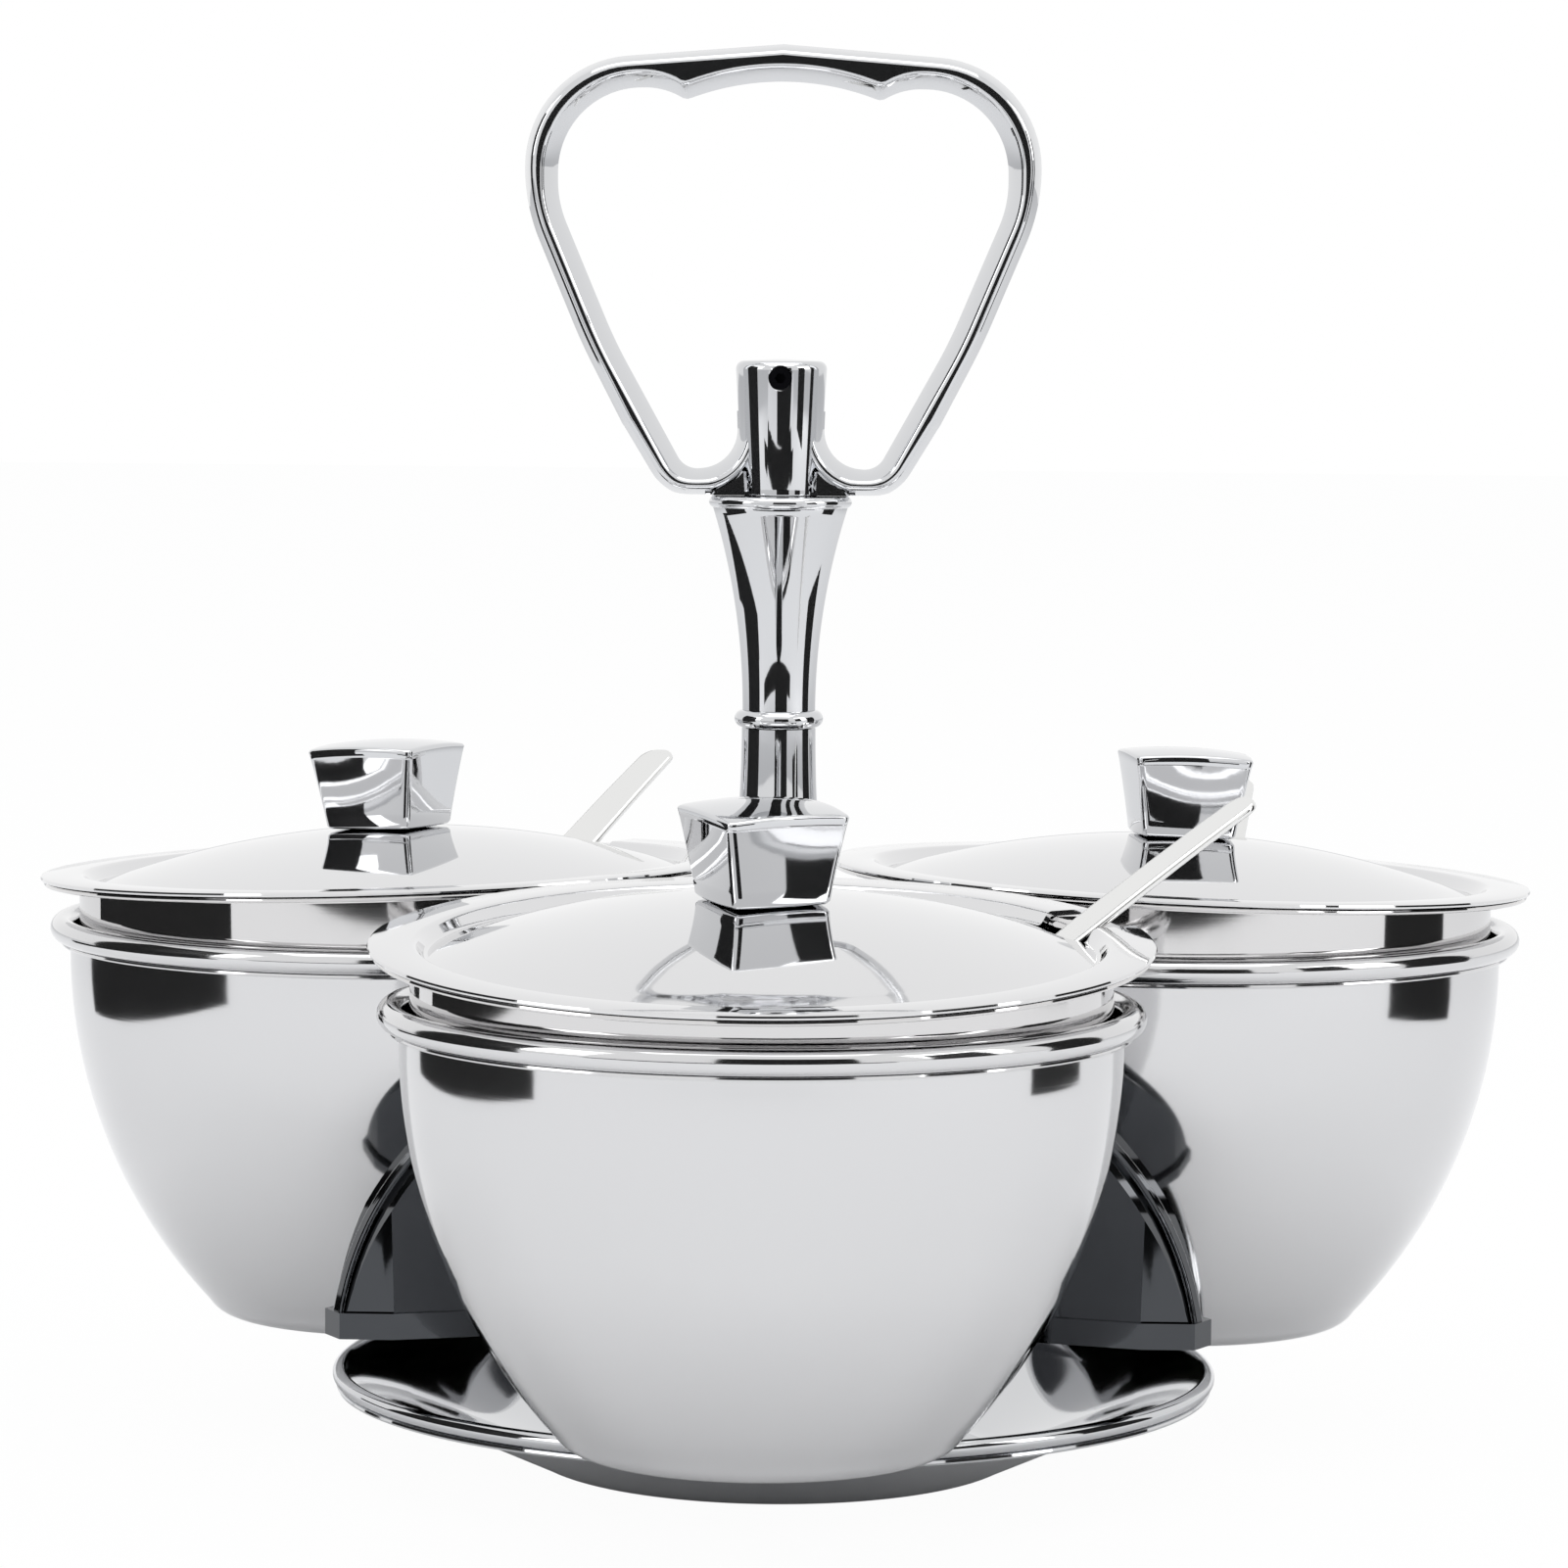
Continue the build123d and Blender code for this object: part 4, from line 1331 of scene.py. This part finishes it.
@dataclass
class Studio:
    """The floor, the soft light and the camera.

    Attributes:
        distance: From the spin axis to the camera, level.
        height: The camera's height.
        azimuth: The camera's direction from the axis, in degrees.
        pitch: How far it looks down, in radians.
        yaw: How far it looks to the left, in radians.
        roll: How far the view is turned, in radians.
        lens_mm: Focal length on a 36 mm wide sensor.
        floor_half: Half the floor's side.
        floor_glow: How much of the floor's white the camera sees whatever its shadows.
        room_light: Strength of the room's light on the object.
        aim: The height on the axis that the soft lights face.
    """

    distance: float = 1.048
    height: float = 0.2133
    azimuth: float = -88.36
    pitch: float = 0.0847
    yaw: float = -0.001
    roll: float = -0.008
    lens_mm: float = 132.67
    floor_half: float = 6.0
    floor_glow: float = 0.965
    room_light: float = 0.8
    aim: float = 0.1

    def camera(self) -> None:
        """Places the camera and makes it the scene's."""
        turn = math.radians(self.azimuth + 90) + self.yaw
        spin = Matrix.Rotation(turn, 3, "Z")
        ahead = spin @ Vector((0, math.cos(self.pitch), -math.sin(self.pitch)))
        right = spin @ Vector((1, 0, 0))
        down = ahead.cross(right)
        c, s = math.cos(self.roll), math.sin(self.roll)
        right, down = right * c + down * s, down * c - right * s
        camera = bpy.data.objects.new("camera", bpy.data.cameras.new("camera"))
        bpy.context.scene.collection.objects.link(camera)
        camera.data.lens = self.lens_mm
        camera.data.sensor_width = 36
        camera.data.clip_start = 0.05
        place = Vector(
            (
                self.distance * math.cos(math.radians(self.azimuth)),
                self.distance * math.sin(math.radians(self.azimuth)),
                self.height,
            )
        )
        axes = Matrix((right, -down, -ahead)).transposed()
        camera.matrix_world = Matrix.Translation(place) @ axes.to_4x4()
        bpy.context.scene.camera = camera

    def world(self) -> None:
        """An even pale room, which the camera, metal and glass see as white."""
        world = bpy.data.worlds.new("room")
        world.use_nodes = True
        tree = world.node_tree
        tree.nodes.clear()
        path = add_node(tree, "ShaderNodeLightPath")
        seen = path.outputs["Is Camera Ray"]
        for ray in ("Is Glossy Ray", "Is Transmission Ray"):
            seen = add_node(
                tree, "ShaderNodeMath", {0: seen, 1: path.outputs[ray]}, operation="MAXIMUM"
            ).outputs[0]
        pale = {"Color": linear("#F2F3F5"), "Strength": self.room_light}
        room = add_node(tree, "ShaderNodeBackground", pale)
        paper = add_node(tree, "ShaderNodeBackground", {"Color": (1, 1, 1, 1), "Strength": 1.0})
        mixed = add_node(
            tree, "ShaderNodeMixShader", {0: seen, 1: room.outputs[0], 2: paper.outputs[0]}
        )
        add_node(tree, "ShaderNodeOutputWorld", {"Surface": mixed.outputs[0]})
        bpy.context.scene.world = world

    def floor(self) -> None:
        """A pale floor, which the camera sees as near white with only a trace of the shadow."""
        material, tree = new_tree("studio_paper")
        path = add_node(tree, "ShaderNodeLightPath")
        paper = add_node(tree, "ShaderNodeBsdfDiffuse", {"Color": linear("#F4F4F4")})
        glow = add_node(tree, "ShaderNodeEmission", {"Color": (1, 1, 1, 1), "Strength": 1.0})
        share = add_node(
            tree,
            "ShaderNodeMath",
            {0: path.outputs["Is Camera Ray"], 1: self.floor_glow},
            operation="MULTIPLY",
        ).outputs[0]
        mixed = add_node(
            tree, "ShaderNodeMixShader", {0: share, 1: paper.outputs[0], 2: glow.outputs[0]}
        )
        add_node(tree, "ShaderNodeOutputMaterial", {"Surface": mixed.outputs[0]})
        half = self.floor_half
        mesh = bpy.data.meshes.new("floor")
        mesh.from_pydata(
            [(-half, -half, 0), (half, -half, 0), (half, half, 0), (-half, half, 0)],
            [],
            [(0, 1, 2, 3)],
        )
        mesh.materials.append(material)
        floor = bpy.data.objects.new("floor", mesh)
        bpy.context.scene.collection.objects.link(floor)

    def card(
        self, name: str, first: Point, last: Point, heights: Point, material: bpy.types.Material
    ) -> None:
        """A dark upright card beside the table, which only reflections see.

        Args:
            name: The card's name.
            first: Where one of its ends stands.
            last: Where its other end stands.
            heights: Heights of its lower and upper edge.
            material: What it is made of.
        """
        low, high = heights
        mesh = bpy.data.meshes.new(name)
        mesh.from_pydata(
            [(*first, low), (*last, low), (*last, high), (*first, high)], [], [(0, 1, 2, 3)]
        )
        mesh.materials.append(material)
        board = bpy.data.objects.new(name, mesh)
        board.visible_camera = False
        board.visible_diffuse = False
        board.visible_shadow = False
        bpy.context.scene.collection.objects.link(board)

    def softbox(self, name: str, place: Vector, size: float, watts: float) -> None:
        """A square soft light that faces the middle of the object.

        Args:
            name: The light's name.
            place: Where it stands.
            size: Its side.
            watts: Its power.
        """
        light = bpy.data.lights.new(name, "AREA")
        light.size = size
        light.energy = watts
        lamp = bpy.data.objects.new(name, light)
        way = Vector((0, 0, self.aim)) - place
        turn = way.to_track_quat("-Z", "Y").to_matrix().to_4x4()
        lamp.matrix_world = Matrix.Translation(place) @ turn
        bpy.context.scene.collection.objects.link(lamp)

    def build(self) -> None:
        """Builds the whole studio."""
        self.camera()
        self.world()
        self.floor()
        for name, place, size, watts in (
            ("softbox_above", (0, -0.2, 1.8), 1.6, 12),
            ("softbox_left", (-1.6, -0.8, 0.9), 1.0, 6),
            ("softbox_right", (1.6, -0.8, 0.9), 1.0, 8),
        ):
            self.softbox(name, Vector(place), size, watts)
        material, tree = new_tree("black_card")
        black = add_node(tree, "ShaderNodeBsdfDiffuse", {"Color": linear("#2B2B2B")})
        add_node(tree, "ShaderNodeOutputMaterial", {"Surface": black.outputs[0]})
        for name, first, last, heights in (
            ("flag_front", (-0.17, -0.95), (0.46, -0.9), (0.0, 0.6)),
            ("flag_left", (-0.5, -0.27), (-0.5, 0.16), (0.0, 0.5)),
            ("flag_right", (0.5, -0.5), (0.5, -0.26), (0.1, 0.45)),
            ("flag_far_right", (0.5, -0.08), (0.5, 0.16), (0.0, 0.4)),
            ("table_end_left", (-0.44, -0.25), (-0.44, 0.28), (0.0, 0.05)),
            ("table_end_front", (-0.7, -0.68), (0.5, -0.68), (0.0, 0.05)),
        ):
            self.card(name, first, last, heights, material)
        bpy.context.scene.view_settings.view_transform = "Standard"


def main() -> None:
    """Builds the studio and dresses the model."""
    logging.basicConfig(level=logging.INFO, format="%(name)s: %(message)s")
    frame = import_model()
    finishes = Dresser(frame).dress()
    Base().build(finishes["plated_dish"])
    Column().build(finishes["plated_casting"])
    CupSet().build(finishes["satin_cup"], finishes["bright_bowl"])
    Lids().build(finishes["satin_lid"], finishes["plated_casting"])
    Spoons().build(finishes["bright_spoon"])
    Handle().build(finishes["plated_casting"])
    Studio().build()


if __name__ == "__main__":
    main()
